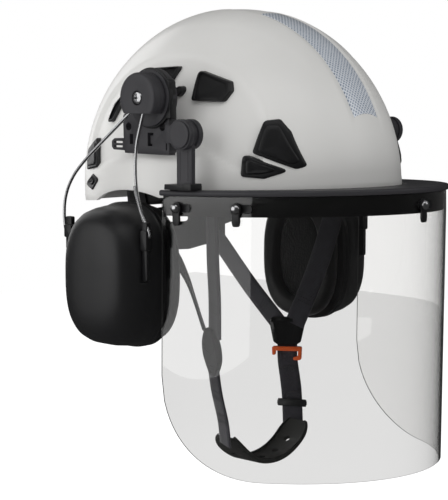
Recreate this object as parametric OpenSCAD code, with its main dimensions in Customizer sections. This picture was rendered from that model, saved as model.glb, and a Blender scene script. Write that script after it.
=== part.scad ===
// Forestry helmet: vented shell, flip-up face shield, wire-arm ear defenders and a chin strap.
// +Z is up, the front faces -Y and the wearer's left is +X. The origin is the centre of the
// headband, level with the front rim of the shell. Right-side parts are drawn and mirrored.

/* [Shell] */
// Outside width of the shell
shell_w = 216; // [210:1:222]
// Outside length of the shell
shell_l = 280; // [276:1:286]
// Height of the crown above the front rim
shell_h = 136; // [130:1:142]
// Wall thickness of the shell
shell_wall = 3; // [2.5:0.5:3.5]
// How far the rim drops from front to nape
nape_drop = 20; // [16:1:24]

/* [Face shield] */
// Half width of the clear sheet
lens_a = 116.7; // [115.5:0.1:118]
// Half length of the ellipse that the clear sheet follows
lens_b = 148.4; // [147:0.1:150]
// Thickness of the clear sheet
lens_t = 1.5; // [1:0.5:2]
// Height of the clear sheet
lens_h = 205; // [180:1:215]
// Upward tilt of the whole face shield
visor_lift = 1.2; // [0:0.2:2]

/* [Ear defenders] */
// Height of a cup
cup_h = 110; // [105:1:112]
// Width of a cup
cup_w = 84; // [80:1:86]
// Depth of a cup behind its backplate
cup_d = 44; // [38:1:45]
// Thickness of the ear cushion
cushion_t = 14; // [12:1:16]
// Diameter of the sprung wire
wire_d = 2.4; // [2:0.2:2.6]

/* [Suspension] */
// Inside width of the headband
head_w = 156; // [150:1:158]
// Inside length of the headband
head_l = 196; // [190:1:198]
// Width of the webbing
strap_w = 17; // [15:1:19]
// Thickness of the webbing
strap_t = 1.6; // [1.2:0.2:2]

/* [Hidden] */
$fn = 64;

black = [0.07, 0.07, 0.075];
charcoal = [0.22, 0.21, 0.23];
steel = [0.75, 0.76, 0.78];

shell_a = shell_w / 2;
shell_b = shell_l / 2;
ear_y = 15;                       // the ear cups' centre, front to back
cup_z = -68;                      // the ear cups' centre, up and down
cushion_x = 86;                   // the cushion's face, out from the middle
plate_x = cushion_x + cushion_t;  // the cup plate's inner face
plate_t = 4;
cup_x = plate_x + plate_t;        // the cup's open edge
arch_r = 120;                     // the rim's arch over each ear
arch_top = -4;
hub_y = -19.5;
hub_z = 65;
pivot_y = -58;                    // the face shield's hinge line
pivot_z = 39;
lens_y = -30;                     // centre of the face shield's ellipse
bar_x = 126;                      // the wire's crossbar in the hub
bar_y = -16.5;
bar_z = 55.5;
cup_pivot_x = 128;
cup_pivot_z = -36;
knob_z = -49;
run_gap = 0.05;                   // radial clearance of a running fit

module left() { mirror([1, 0, 0]) children(); }
module both() { children(); left() children(); }
module along_x(x0, x1, y, z, r) {
    translate([x0, y, z]) rotate([0, 90, 0]) cylinder(r = r, h = x1 - x0);
}
module along_y(y0, y1, x, z, r) {
    translate([x, y1, z]) rotate([90, 0, 0]) cylinder(r = r, h = y1 - y0);
}
module box(low, high) { translate(low) cube(high - low); }
// A prism along X over a polygon given as (y, z) points
module side_prism(pts, x0, x1) {
    translate([x0, 0, 0]) rotate([90, 0, 90]) linear_extrude(height = x1 - x0) polygon(pts);
}
module ellipsoid(a, b, h) { scale([a, b, h]) sphere(r = 1, $fn = 96); }
module oval(a, b, z0, z1) { translate([0, 0, z0]) scale([a, b, 1]) cylinder(r = 1, h = z1 - z0); }
// The space between two shells that stand `outer` and `inner` away from the outside surface
module shell_layer(outer, inner) {
    difference() {
        ellipsoid(shell_a + outer, shell_b + outer, shell_h + outer);
        ellipsoid(shell_a + inner, shell_b + inner, shell_h + inner);
    }
}
module below_rim() {
    translate([0, -shell_b, 0]) rotate([-atan(nape_drop / shell_l), 0, 0])
        box([-150, -20, -300], [150, 320, 0]);
    along_x(-150, 150, ear_y + 1, arch_top - arch_r, arch_r);
}
function centre(pts) = [for (k = [0, 1]) min([for (p = pts) p[k]]) + max([for (p = pts) p[k]])] / 2;
function shrink(pts, k) = [for (p = pts) centre(pts) + (p - centre(pts)) * k];
insert_fit = 0.97;

// Openings in the right side of the shell, as (y, z) outlines
vents = [[[-33, 86], [-61, 77], [-64, 70], [-61, 62], [-36, 63]],
    [[-15, 89], [16, 88], [26, 79], [14, 72], [-9.5, 70]],
    [[54, 46], [50, 61], [38, 71], [36, 66], [46, 47]]];
clips = [[[-89, 26], [-92, 48], [-100, 49], [-107, 40], [-118, 17], [-113, 15]],
    [[-83, 24], [-83, 9], [-96, 8], [-110, 13]],
    [[87, 24], [67, 34], [61, 12], [85, 9]],
    [[88, -3], [71, -6], [58, 2], [70, 5]]];
plug = [-22.5, 70, 4];
blade = [[-26, 27], [-8, 27], [-8, 31], [-26, 31]];

module shell() {
    color([0.86, 0.86, 0.84]) difference() {
        shell_layer(0, -shell_wall);
        below_rim();
        both() {
            for (v = vents) side_prism(v, -120, -50);
            for (c = clips) side_prism(c, -120, -40);
            along_x(-120, -60, plug[0], plug[1], plug[2]);
            side_prism(blade, -120, -80);
        }
    }
}
module vent_inserts() {
    color(black) both() for (v = vents) intersection() {
        shell_layer(0.6, -shell_wall - 1);
        side_prism(shrink(v, insert_fit), -120, -50);
    }
}
module lamp_clips() {
    color(black) both() for (c = clips) intersection() {
        shell_layer(1.6, -shell_wall);
        side_prism(shrink(c, insert_fit), -120, -40);
    }
}
module shell_plugs() {
    color(black) both() intersection() {
        shell_layer(1.2, -shell_wall);
        along_x(-120, -60, plug[0], plug[1], plug[2] - 0.1);
    }
}
strip_half = 13.5;
module reflective_strip() {
    color([0.72, 0.77, 0.83]) intersection() {
        shell_layer(0.6, 0.05);
        box([-strip_half, -129, 50], [strip_half, -36, 140]);
    }
}

// The adapter carries the ear defender's hub and the face shield's hinge
ear_in = [-116, -112];
ear_out = [-125, -121];
plate_in = -107;
plate_out = -115;
plate_hole_y = 18;
plate_hole_z = 44;
plate_mid = -12;
neck_y = -43;
module adapter_plate_right() {
    color(black) difference() {
        union() {
            box([plate_out, -37, 25], [plate_in, 12, 56]);
            along_x(plate_out, -110, hub_y, hub_z, 21.5);
            box([plate_out, 11, 26], [-111, 26, 35]);
            box([ear_out[0], -47, 33], [-111, neck_y, 45]);
            box([-117, neck_y, 33], [plate_in, -36, 45]);
            for (e = [ear_in, ear_out]) {
                along_x(e[0], e[1], pivot_y, pivot_z, 11);
                box([e[0], pivot_y, 33], [e[1], neck_y, 45]);
            }
        }
        along_x(-130, -100, pivot_y, pivot_z, 3);
        along_x(-116, -100, hub_y, hub_z, 3);
        for (s = [-1, 1])
            along_x(-116, -100, plate_mid + s * plate_hole_y, plate_hole_z, 3);
        for (y = [-16.5, 3]) box([-116, y - 2, 30], [-100, y + 2, 39]);
        for (z = [28.2, 31.2]) box([-116, 14, z], [-100, 24, z + 1.4]);
        side_prism(blade, -110, -100);
    }
}
module adapter_blades() {
    color(black) both() {
        box([-110, -25.8, 27.2], [-98, -8.2, 30.8]);
        box([-100, -25.8, 31.2], [-98, -8.2, 33]);
        box([-100, -25.8, 30.8], [-98, -8.2, 31.2]);
    }
}
module hub_base_right() {
    color(black) difference() {
        along_x(-118.8, plate_out, hub_y, hub_z, 21.5);
        along_x(-120, -110, hub_y, hub_z, 3);
    }
}
module hub_screws() {
    color(steel) both() difference() {
        union() {
            along_x(-128, -108, hub_y, hub_z, 3);
            along_x(-130.8, -128, hub_y, hub_z, 4.8);
        }
        for (a = [0, 90]) translate([-131, hub_y, hub_z]) rotate([a, 0, 0])
            box([-1, -3, -0.6], [1.6, 3, 0.6]);
    }
}
module visor_pins() {
    color(steel) both() {
        along_x(-125.5, -111.5, pivot_y, pivot_z, 3);
        along_x(-126.8, -125.1, pivot_y, pivot_z, 5);
        along_x(-111.9, -110.5, pivot_y, pivot_z, 5);
    }
}

// Suspension
band_tilt = -6;
band_t = 2;
band_a = head_w / 2;
band_b = head_l / 2;
module band(inner, outer, z0, z1) {
    difference() {
        oval(band_a + outer, band_b + outer, z0, z1);
        oval(band_a + inner, band_b + inner, z0 - 1, z1 + 1);
    }
}
module headband() {
    color(black) rotate([band_tilt, 0, 0]) band(0, band_t, -14, 14);
}
module sweatband() {
    color([0.12, 0.12, 0.13]) rotate([band_tilt, 0, 0]) intersection() {
        band(-4, -0.1, -17, 17);
        box([-60, -120, -20], [60, 0, 20]);
    }
}
module nape_cradle() {
    color(black) difference() {
        intersection() {
            band(0.2, band_t + 1, -64, -25);
            box([-58, 20, -70], [58, 130, 0]);
        }
        box([-34, 0, -40], [34, 130, -30]);
        along_y(80, 130, 0, knob_z, 6);
    }
}
module ratchet_housing() {
    color(black) difference() {
        union() {
            box([-28, 101.5, -63], [28, 111, -40]);
            along_y(100, 124, 0, knob_z, 5);
        }
        box([-18, 60, -80], [18, 101.5, -20]);
    }
}
module ratchet_knob() {
    teeth = 18;
    color(black) difference() {
        along_y(111.5, 126, 0, knob_z, 16);
        along_y(111, 124.5, 0, knob_z, 5 + run_gap);
        for (i = [1:teeth]) translate([0, 0, knob_z]) rotate([0, i * 360 / teeth, 0])
            along_y(114, 127, 17, 0, 1.6);
    }
}
// A half hoop of webbing over the head, drawn in the XZ plane
clip_top = 14;
module hoop(half_w, top, w) {
    intersection() {
        rotate([90, 0, 0]) translate([0, 0, -w / 2]) difference() {
            oval(half_w, top, 0, w);
            oval(half_w - 1.2, top - 1.2, -1, w + 1);
        }
        box([-150, -w, clip_top], [150, w, top + 1]);
    }
}
module crown_strap_long() { color(charcoal) rotate([0, 0, 90]) hoop(106, 110.4, 20); }
module crown_strap_cross() { color(charcoal) hoop(86, 113, 20); }
module suspension_clips() {
    color(black) {
        both() box([-103.5, -9, 3], [-81, 9, clip_top]);
        box([-9, -134, 3], [9, -101, clip_top]);
        box([-9, 104, -2], [9, 134, clip_top]);
    }
}

// Webbing: a flat ribbon through `path`, with `wide` the direction of its width
function unit(v) = v / norm(v);
function tangent(path, i) =
    unit(path[min(i + 1, len(path) - 1)] - path[max(i - 1, 0)]);
function across(path, i, wide) =
    unit(wide - tangent(path, i) * (wide * tangent(path, i)));
function ribbon_ring(path, i, wide, w, t) =
    let (u = across(path, i, wide), v = cross(tangent(path, i), u))
    [for (c = [[-1, -1], [1, -1], [1, 1], [-1, 1]]) path[i] + u * c[0] * w / 2 + v * c[1] * t / 2];
module sweep(rings) {
    n = len(rings[0]);
    m = len(rings);
    points = [for (ring = rings) for (p = ring) p];
    sides = [for (i = [0:m - 2]) for (j = [0:n - 1]) for (h = [0, 1])
        let (a = i * n + j, b = i * n + (j + 1) % n)
        h == 0 ? [a, b, b + n] : [a, b + n, a + n]];
    polyhedron(points, concat(sides, [[for (j = [n - 1:-1:0]) j]],
        [[for (j = [0:n - 1]) (m - 1) * n + j]]));
}
module ribbon(path, wide, w = strap_w, t = strap_t) {
    sweep([for (i = [0:len(path) - 1]) ribbon_ring(path, i, wide, w, t)]);
}
front_right = [[-84, -50, 4], [-83, -50, -20], [-80, -48, -55], [-75, -45, -85], [-70, -40.6, -105]];
rear_right = [[-52, 66, -47.5], [-58, 44, -46], [-63, 16, -54], [-65, -6, -74], [-66, -22, -105]];
lower_right = [[-62.5, -33, -148], [-59, -32, -160], [-51, -31, -184], [-46.6, -30, -197.5]];
front_left = [[84, -42, 4], [83, -33, -22], [77, -28, -50], [71.5, -21, -80], [65.5, -15, -112]];
rear_left = [[57, 61, -74.5], [59, 54, -82], [60, 38, -98], [57, 18, -110]];
lower_left = [[57.6, -3, -159.8], [55.2, -7.5, -168], [51, -13, -180], [47.2, -17, -197]];
module chin_strap_front_right() { color(charcoal) ribbon(front_right, [0.3, 1, 0]); }
module chin_strap_rear_right() { color(charcoal) ribbon(rear_right, [0.8, 1, 0.6]); }
module chin_strap_lower_right() { color(charcoal) ribbon(lower_right, [0.35, 1, 0]); }
module chin_strap_front_left() { color(charcoal) ribbon(front_left, [-0.4, 1, 0]); }
module chin_strap_rear_left() { color(charcoal) ribbon(rear_left, [0, 1, -0.8]); }
module chin_strap_lower_left() { color(charcoal) ribbon(lower_left, [-0.5, 1, 0]); }
module strap_slider() {
    color([0.16, 0.16, 0.17]) translate([-66.5, -34, -126]) rotate([8, -9, -18]) hull() {
        for (z = [-16, 0, 14]) translate([-2.5, 0, z]) rotate([0, 90, 0])
            cylinder(r = z == 0 ? 12 : 4, h = 5, $fn = 24);
    }
}
buckle_at = [61, 1, -128];
buckle_turn = [0, 5, 35];
module chin_buckle() {
    color(black) translate(buckle_at) rotate(buckle_turn) hull() {
        for (p = [[-11, 6], [11, 6], [-7, -8], [7, -8]]) translate([-3.5, p[0], p[1]])
            rotate([0, 90, 0]) cylinder(r = 5, h = 7, $fn = 24);
    }
}
module release_clip() {
    color([0.88, 0.33, 0.12]) translate(buckle_at) rotate(buckle_turn) difference() {
        box([-4, -12, -25], [4, 12, -13.6]);
        box([-2.2, -9.4, -30], [2.2, 9.4, -10]);
    }
}
module strap_keeper() {
    color(black) translate([49.6, -14.4, -186]) rotate([0, 13, 27]) difference() {
        box([-3, -11.6, -3], [3, 11.6, 3]);
        box([-1.8, -10, -4], [1.8, 10, 4]);
    }
}
chin_r = 54;
chin_z = -224;
chin_y = -26;
module chin_cup() {
    color([0.16, 0.17, 0.15]) difference() {
        along_y(chin_y - 14, chin_y + 14, 0, chin_z + chin_r, chin_r);
        along_y(chin_y - 15, chin_y + 15, 0, chin_z + chin_r, chin_r - 3);
        box([-70, -50, -199], [70, 0, -100]);
        for (a = [-36, -18, 0, 18, 36]) translate([0, chin_y, chin_z + chin_r])
            rotate([0, a, 0]) translate([0, 0, -chin_r - 1]) cylinder(r = 2.5, h = 6);
    }
}

// Face shield, drawn level and then lifted about its hinge line
stud_turns = [-84, -64.5, 0, 64.5, 84];
stud_z = -14;
lens_top = -5.7;
module lifted() {
    translate([0, pivot_y, pivot_z]) rotate([-visor_lift, 0, 0]) translate([0, -pivot_y, -pivot_z])
        children();
}
module lens_oval(grow, z0, z1) {
    translate([0, lens_y, 0]) oval(lens_a + grow, lens_b + grow, z0, z1);
}
module lens_band(inner, outer, z0, z1) {
    difference() {
        lens_oval(outer, z0, z1);
        lens_oval(inner, z0 - 1, z1 + 1);
    }
}
module front_half() { box([-150, -220, -260], [150, lens_y, 60]); }
// Places a part on the sheet's outside at a turn round its ellipse, with +X pointing outwards
module on_lens(turn) {
    translate([lens_a * sin(turn), lens_y - lens_b * cos(turn), stud_z])
        rotate([0, 0, atan2(-cos(turn) / lens_b, sin(turn) / lens_a)]) children();
}
wall_out = -lens_t - 0.2;
wall_in = wall_out - 3;
module rim_hole(grow, z0, z1) { oval(shell_a + grow, shell_b + grow, z0, z1); }
ring_top = -1.3;
ring_foot = -5.4;
module visor_frame() {
    color(black) lifted() intersection() {
        front_half();
        union() {
            difference() {
                lens_oval(wall_in + 1, ring_foot + 1, ring_top - 0.2);
                rim_hole(3.2, -6, 1);
            }
            lens_band(wall_in - 0.5, 2.3, ring_foot, ring_top);
        }
    }
}
// The wall behind the sheet, which the studs are pressed into
module visor_band() {
    color(black) lifted() intersection() {
        front_half();
        lens_band(wall_in, wall_out, -20, ring_foot);
    }
}
module visor_seal() {
    color([0.1, 0.1, 0.1]) lifted() intersection() {
        front_half();
        difference() {
            rim_hole(3.1, ring_foot + 1, ring_top - 0.2);
            rim_hole(1.8, -6, 1);
        }
    }
}
corner_y = 82;
corner_z = 72;
module visor_lens() {
    foot = lens_top - lens_h;
    color([0.85, 0.9, 0.92, 0.3]) lifted() difference() {
        intersection() {
            lens_band(-lens_t, 0, foot, lens_top);
            union() {
                front_half_to(lens_y - corner_y, foot);
                front_half_to(lens_y, foot + corner_z);
                translate([-150, lens_y - corner_y, foot + corner_z]) rotate([0, 90, 0])
                    scale([corner_z, corner_y, 1]) cylinder(r = 1, h = 300);
            }
        }
        for (t = stud_turns) on_lens(t) box([-5, -8, -3.2], [3, 8, 3.2]);
    }
}
module front_half_to(y, z) { box([-150, -200, z], [150, y, 0]); }
module lens_studs() {
    color(steel) lifted() for (t = stud_turns) on_lens(t) {
        along_x(-5, 3, 0, 0, 2.4);
        along_x(2.6, 4, 0, 0, 4.4);
        translate([4, 0, 0]) rotate([0, 90, 0]) cylinder(r1 = 4.4, r2 = 2.6, h = 1.2);
    }
}
module lens_button(i) {
    color(black) lifted() on_lens(stud_turns[i]) difference() {
        union() {
            along_x(0.3, 2.2, 0, 0, 5);
            box([0.3, -3.6, -14], [2.2, 3.6, 0]);
        }
        along_x(-1, 4, 0, 0, 2.4 + run_gap);
    }
}
module lens_button_1() { lens_button(0); }
module lens_button_2() { lens_button(1); }
module lens_button_3() { lens_button(2); }
module lens_button_4() { lens_button(3); }
module lens_button_5() { lens_button(4); }
arm_in = -116.5;
arm_out = -120.5;
arm_foot = 0;
bracket_z = -1;
module visor_arm_right() {
    color(black) difference() {
        union() {
            along_x(arm_out, arm_in, pivot_y, pivot_z, 10);
            box([arm_out, pivot_y - 7, arm_foot], [arm_in, pivot_y + 7, pivot_z]);
        }
        along_x(-130, -100, pivot_y, pivot_z, 3 + run_gap);
    }
}
module visor_brackets() {
    color(black) both() difference() {
        box([-122, -66, bracket_z], [-110.5, -39, bracket_z + 4]);
        box([arm_out - 0.1, pivot_y - 7.1, arm_foot - 0.1], [arm_in + 0.1, pivot_y + 7.1, 8]);
    }
}

// Ear defenders
module hub_cap_right() {
    color(black) difference() {
        along_x(-130.5, -119.3, hub_y, hub_z, 18.5);
        box([-140, -60, 30], [-110, 20, hub_z - 12]);
        along_x(-140, -110, hub_y, hub_z, 3 + run_gap);
        along_x(-140, -127.6, hub_y, hub_z, 5.2);
        box([-128.9, bar_y - 7.7, 50], [-123.6, bar_y + 11.6, bar_z + 1.8]);
        along_y(bar_y - 10, bar_y + 10, -bar_x, bar_z, wire_d / 2 + run_gap);
    }
}
module wire(path) {
    for (i = [0:len(path) - 2]) {
        v = path[i + 1] - path[i];
        translate(path[i]) rotate([0, acos(v[2] / norm(v)), atan2(v[1], v[0])])
            cylinder(r = wire_d / 2, h = norm(v));
        translate(path[i + 1]) sphere(r = wire_d / 2 + 0.02);
    }
}
front_leg = [[-126, -22.5, 55.9], [-127, -20.6, 47], [-128, -17, 33], [-128, -15.5, 20],
    [-128, -15.5, 8], [-128, -17, -6], [-128, -22, -20], [-128, -28.5, -30], [-128, -31, cup_pivot_z]];
rear_leg = [[-126, -10.5, 55.9], [-127, -3, 50], [-128, 24, 30], [-128, 40, 18.5], [-128, 52, 8],
    [-128, 60, -3], [-128, 64, -14], [-128, 64.5, -26], [-128, 63, cup_pivot_z]];
module wire_arm_right() {
    color(steel) {
        along_y(bar_y - 9.5, bar_y + 9.5, -bar_x, bar_z, wire_d / 2);
        wire(front_leg);
        wire(rear_leg);
        along_y(-31, -25.7, -cup_pivot_x, cup_pivot_z, wire_d / 2);
        along_y(57.7, 63, -cup_pivot_x, cup_pivot_z, wire_d / 2);
    }
}
// A rounded slab across X, from x0 to x1, shrunk by `less` all round
module cup_slab(x0, x1, less) {
    r = 33 - less;
    for (y = [-1, 1]) for (z = [-1, 1])
        translate([x0, ear_y + y * (cup_w / 2 - 33), cup_z + z * (cup_h / 2 - 33)])
            rotate([0, 90, 0]) cylinder(r = r, h = x1 - x0, $fn = 32);
}
module cup_form() {
    hull() {
        cup_slab(-cup_x - 8, -cup_x, 0);
        cup_slab(-cup_x - cup_d + 6, -cup_x - cup_d + 7, 5);
        cup_slab(-cup_x - cup_d, -cup_x - cup_d + 1, 13);
    }
}
module ear_cup_right() {
    color(black) difference() {
        cup_form();
        hull() {
            cup_slab(-cup_x - 8, -cup_x + 1, 3);
            cup_slab(-cup_x - cup_d + 3, -cup_x - cup_d + 4, 14);
        }
    }
}
module cup_plate_right() {
    color(black) difference() {
        hull() cup_slab(-cup_x, -plate_x, 0);
        hull() cup_slab(-cup_x - 1, -plate_x + 1, 14);
    }
}
module cup_foam_right() {
    color([0.15, 0.15, 0.15]) hull() {
        cup_slab(-cup_x - cup_d + 5, -cup_x - cup_d + 6, 16);
        cup_slab(-cup_x - 14, -cup_x - 13, 8);
    }
}
module ear_cushion_right() {
    color([0.1, 0.1, 0.1]) difference() {
        hull() cup_slab(-plate_x, -cushion_x, 1);
        hull() cup_slab(-plate_x - 1, -cushion_x + 1, 18);
    }
}
module cup_pivots_right() {
    color(black) difference() {
        union() {
            box([-131.5, -29.5, -66], [-124.5, -18, -32]);
            box([-131.5, 48, -40], [-124.5, 61.5, -32]);
        }
        along_y(-40, 80, -cup_pivot_x, cup_pivot_z, wire_d / 2 + run_gap);
        box([-140, -40, -38.8], [-120, -27.4, -20]);
        cup_form();
    }
}

module adapter_plate_left() { left() adapter_plate_right(); }
module hub_base_left() { left() hub_base_right(); }
module visor_arm_left() { left() visor_arm_right(); }
module hub_cap_left() { left() hub_cap_right(); }
module wire_arm_left() { left() wire_arm_right(); }
module ear_cup_left() { left() ear_cup_right(); }
module cup_plate_left() { left() cup_plate_right(); }
module cup_foam_left() { left() cup_foam_right(); }
module ear_cushion_left() { left() ear_cushion_right(); }
module cup_pivots_left() { left() cup_pivots_right(); }

shell();
vent_inserts();
lamp_clips();
shell_plugs();
reflective_strip();
adapter_plate_right();
adapter_plate_left();
adapter_blades();
hub_base_right();
hub_base_left();
hub_screws();
visor_pins();
headband();
sweatband();
nape_cradle();
ratchet_housing();
ratchet_knob();
crown_strap_long();
crown_strap_cross();
suspension_clips();
chin_strap_front_right();
chin_strap_rear_right();
chin_strap_lower_right();
strap_slider();
chin_strap_front_left();
chin_strap_rear_left();
chin_strap_lower_left();
chin_buckle();
release_clip();
strap_keeper();
chin_cup();
visor_frame();
visor_band();
visor_seal();
visor_lens();
lens_studs();
visor_arm_right();
visor_arm_left();
visor_brackets();
lens_button_1();
lens_button_2();
lens_button_3();
lens_button_4();
lens_button_5();
hub_cap_right();
wire_arm_right();
cup_pivots_right();
ear_cup_right();
cup_plate_right();
cup_foam_right();
ear_cushion_right();
hub_cap_left();
wire_arm_left();
cup_pivots_left();
ear_cup_left();
cup_plate_left();
cup_foam_left();
ear_cushion_left();
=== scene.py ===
"""Forestry helmet: the visible meshes, materials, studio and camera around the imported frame.

Sizes are in millimetres in the part's own frame and become metres when a mesh is made. Right-hand
pieces are built first and mirrored for the left.
"""
import math

import bmesh
import bpy
from mathutils import Matrix, Vector


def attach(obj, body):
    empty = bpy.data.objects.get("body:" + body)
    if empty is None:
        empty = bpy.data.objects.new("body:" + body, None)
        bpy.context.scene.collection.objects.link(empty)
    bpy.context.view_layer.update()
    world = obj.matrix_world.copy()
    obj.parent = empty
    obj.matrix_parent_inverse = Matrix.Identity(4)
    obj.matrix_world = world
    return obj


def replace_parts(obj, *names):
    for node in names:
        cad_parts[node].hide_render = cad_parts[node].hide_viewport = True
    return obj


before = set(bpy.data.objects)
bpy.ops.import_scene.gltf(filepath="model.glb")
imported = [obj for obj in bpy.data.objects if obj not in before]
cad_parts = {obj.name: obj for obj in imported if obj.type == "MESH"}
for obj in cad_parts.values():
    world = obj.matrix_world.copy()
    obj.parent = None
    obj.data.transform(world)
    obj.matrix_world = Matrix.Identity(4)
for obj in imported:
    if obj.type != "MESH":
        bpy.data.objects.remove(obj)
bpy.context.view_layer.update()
MM = 0.001
RIGHT, LEFT = -1, 1

# ---------------------------------------------------------------- driving sizes, as in the CAD
SHELL = Vector((108, 140, 136))
WALL = 3
NAPE_DROP = 20
LENS_A, LENS_B, LENS_Y, LENS_T = 116.7, 148.4, -30, 1.5
LENS_TOP, LENS_H = -5.7, 205
PIVOT_Y, PIVOT_Z = -58, 39
VISOR_LIFT = math.radians(1.2)
HUB_Y, HUB_Z = -19.5, 65
CUP_Y, CUP_Z, CUP_HALF_W, CUP_HALF_H = 15, -68, 42, 55
CUP_X, CUP_END = 104, 148
BAND_A, BAND_B = 78, 98
KNOB_Z = -49
STRAP_W, STRAP_T = 17, 1.6
STUD_TURNS = (-84, -64.5, 0, 64.5, 84)
STUD_Z = -14
STRIP_HALF = 13.5
SHEET_LEAN = 0.03
RING_TOP, RING_FOOT = -1.3, -5.4
ARM_FOOT, BRACKET_Z = 0.0, -1.0
NECK_Y = -43


# ---------------------------------------------------------------- mesh helpers
def mesh_object(name, points, faces, sharp=35):
    """A mesh object from points in millimetres, closed faces pointing outwards."""
    data = bpy.data.meshes.new(name)
    data.from_pydata([tuple(Vector(p) * MM) for p in points], [], faces)
    work = bmesh.new()
    work.from_mesh(data)
    bmesh.ops.remove_doubles(work, verts=work.verts, dist=1e-6)
    bmesh.ops.recalc_face_normals(work, faces=work.faces)
    work.to_mesh(data)
    work.free()
    piece = bpy.data.objects.new(name, data)
    bpy.context.scene.collection.objects.link(piece)
    smooth(piece, sharp)
    return piece


def smooth(piece, sharp=35):
    piece.data.polygons.foreach_set("use_smooth", [True] * len(piece.data.polygons))
    piece.data.set_sharp_from_angle(angle=math.radians(sharp))


def applied(piece, sharp=None):
    """Turns what the modifiers make into a plain mesh."""
    graph = bpy.context.evaluated_depsgraph_get()
    old = piece.data
    piece.data = bpy.data.meshes.new_from_object(piece.evaluated_get(graph))
    piece.modifiers.clear()
    bpy.data.meshes.remove(old)
    if sharp is not None:
        smooth(piece, sharp)
    return piece


def combine(piece, others, operation):
    """Boolean of a piece with others, which are used up."""
    for other in others:
        step = piece.modifiers.new(operation, "BOOLEAN")
        step.operation = operation
        step.solver = "EXACT"
        step.object = other
    applied(piece)
    for other in others:
        bpy.data.objects.remove(other)
    return piece


def cut(piece, *others):
    return combine(piece, others, "DIFFERENCE")


def fuse(piece, *others):
    return combine(piece, others, "UNION")


def bevelled(piece, width, segments=2, angle=30):
    """Rounds every edge sharper than the angle, as a moulding is."""
    step = piece.modifiers.new("bevel", "BEVEL")
    step.width = width * MM
    step.segments = segments
    step.limit_method = "ANGLE"
    step.angle_limit = math.radians(angle)
    step.harden_normals = False
    return applied(piece, 40)


def joined(name, pieces):
    """Several meshes as one piece."""
    work = bmesh.new()
    for piece in pieces:
        work.from_mesh(piece.data)
    data = bpy.data.meshes.new(name)
    work.to_mesh(data)
    work.free()
    for slot in pieces[0].data.materials:
        data.materials.append(slot)
    for piece in pieces:
        bpy.data.objects.remove(piece)
    whole = bpy.data.objects.new(name, data)
    bpy.context.scene.collection.objects.link(whole)
    return whole


def mirrored(piece, name):
    """The left-hand copy of a right-hand piece."""
    twin = piece.copy()
    twin.data = piece.data.copy()
    twin.name = name
    twin.data.transform(Matrix.Scale(-1, 4, (1, 0, 0)))
    twin.data.flip_normals()
    bpy.context.scene.collection.objects.link(twin)
    return twin


def lofted(name, rings, sharp=35, closed=True, around=False):
    """Skin over rings of points; `closed` fills the ends, `around` joins the last ring to the first."""
    count = len(rings[0])
    points = [p for ring in rings for p in ring]
    faces = []
    for i in range(len(rings) if around else len(rings) - 1):
        low, high = i * count, (i + 1) % len(rings) * count
        for j in range(count):
            k = (j + 1) % count
            faces.append((low + j, low + k, high + k, high + j))
    if closed and not around:
        faces.append(tuple(range(count))[::-1])
        faces.append(tuple(range(len(points) - count, len(points))))
    return mesh_object(name, points, faces, sharp)


def slab(name, outline, low, high):
    """A prism across X over a (y, z) outline."""
    return lofted(name, [[(x, y, z) for y, z in outline] for x in (low, high)])


def rod(name, start, end, radius, end_radius=None, steps=40):
    """A straight round bar, or a cone."""
    start, end = Vector(start), Vector(end)
    u, v = frame_across(end - start)
    radii = (radius, radius if end_radius is None else end_radius)
    turns = [i * math.tau / steps for i in range(steps)]
    rings = [[p + (u * math.cos(a) + v * math.sin(a)) * r for a in turns]
             for p, r in zip((start, end), radii)]
    return lofted(name, rings)


def frame_across(direction):
    direction = direction.normalized()
    guide = Vector((1, 0, 0)) if abs(direction.x) < 0.8 else Vector((0, 1, 0))
    u = direction.cross(guide).normalized()
    return u, direction.cross(u)


def box_piece(name, low, high):
    outline = [(low[1], low[2]), (high[1], low[2]), (high[1], high[2]), (low[1], high[2])]
    return slab(name, outline, low[0], high[0])


def rounded(corners, radius, steps=5):
    """A closed outline with each corner turned into an arc; radius is one number or one for each."""
    radii = radius if hasattr(radius, "__len__") else [radius] * len(corners)
    out = []
    for i, corner in enumerate(corners):
        here = Vector(corner)
        before = (Vector(corners[i - 1]) - here).normalized()
        after = (Vector(corners[(i + 1) % len(corners)]) - here).normalized()
        half = before.angle(after) / 2
        reach = radii[i] / math.tan(half)
        start, end = here + before * reach, here + after * reach
        for k in range(steps + 1):
            t = k / steps
            out.append((start * (1 - t) ** 2 + here * 2 * t * (1 - t) + end * t ** 2)[:])
    return out


def circle(cy, cz, radius, steps=40):
    return [(cy + radius * math.cos(i * math.tau / steps), cz + radius * math.sin(i * math.tau / steps))
            for i in range(steps)]


def curve_through(points, steps=8):
    """Catmull-Rom points through the given ones."""
    pts = [Vector(p) for p in points]
    pts = [pts[0] * 2 - pts[1]] + pts + [pts[-1] * 2 - pts[-2]]
    out = []
    for i in range(1, len(pts) - 2):
        a, b, c, d = pts[i - 1:i + 3]
        for k in range(steps):
            t = k / steps
            out.append(0.5 * (2 * b + (c - a) * t + (2 * a - 5 * b + 4 * c - d) * t * t
                              + (3 * b - 3 * c + d - a) * t ** 3))
    out.append(pts[-2])
    return out


def bent_wire(points, bend, steps=5):
    """A polyline whose corners are rounded by arcs of about `bend`."""
    pts = [Vector(p) for p in points]
    out = [pts[0]]
    for i in range(1, len(pts) - 1):
        before, after = pts[i - 1] - pts[i], pts[i + 1] - pts[i]
        reach = min(bend, before.length * 0.45, after.length * 0.45)
        start, end = pts[i] + before.normalized() * reach, pts[i] + after.normalized() * reach
        for k in range(steps + 1):
            t = k / steps
            out.append(start * (1 - t) ** 2 + pts[i] * 2 * t * (1 - t) + end * t ** 2)
    out.append(pts[-1])
    return out


def heading(path, i):
    """The unit direction of a path at one of its points."""
    return (path[min(i + 1, len(path) - 1)] - path[max(i - 1, 0)]).normalized()


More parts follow.
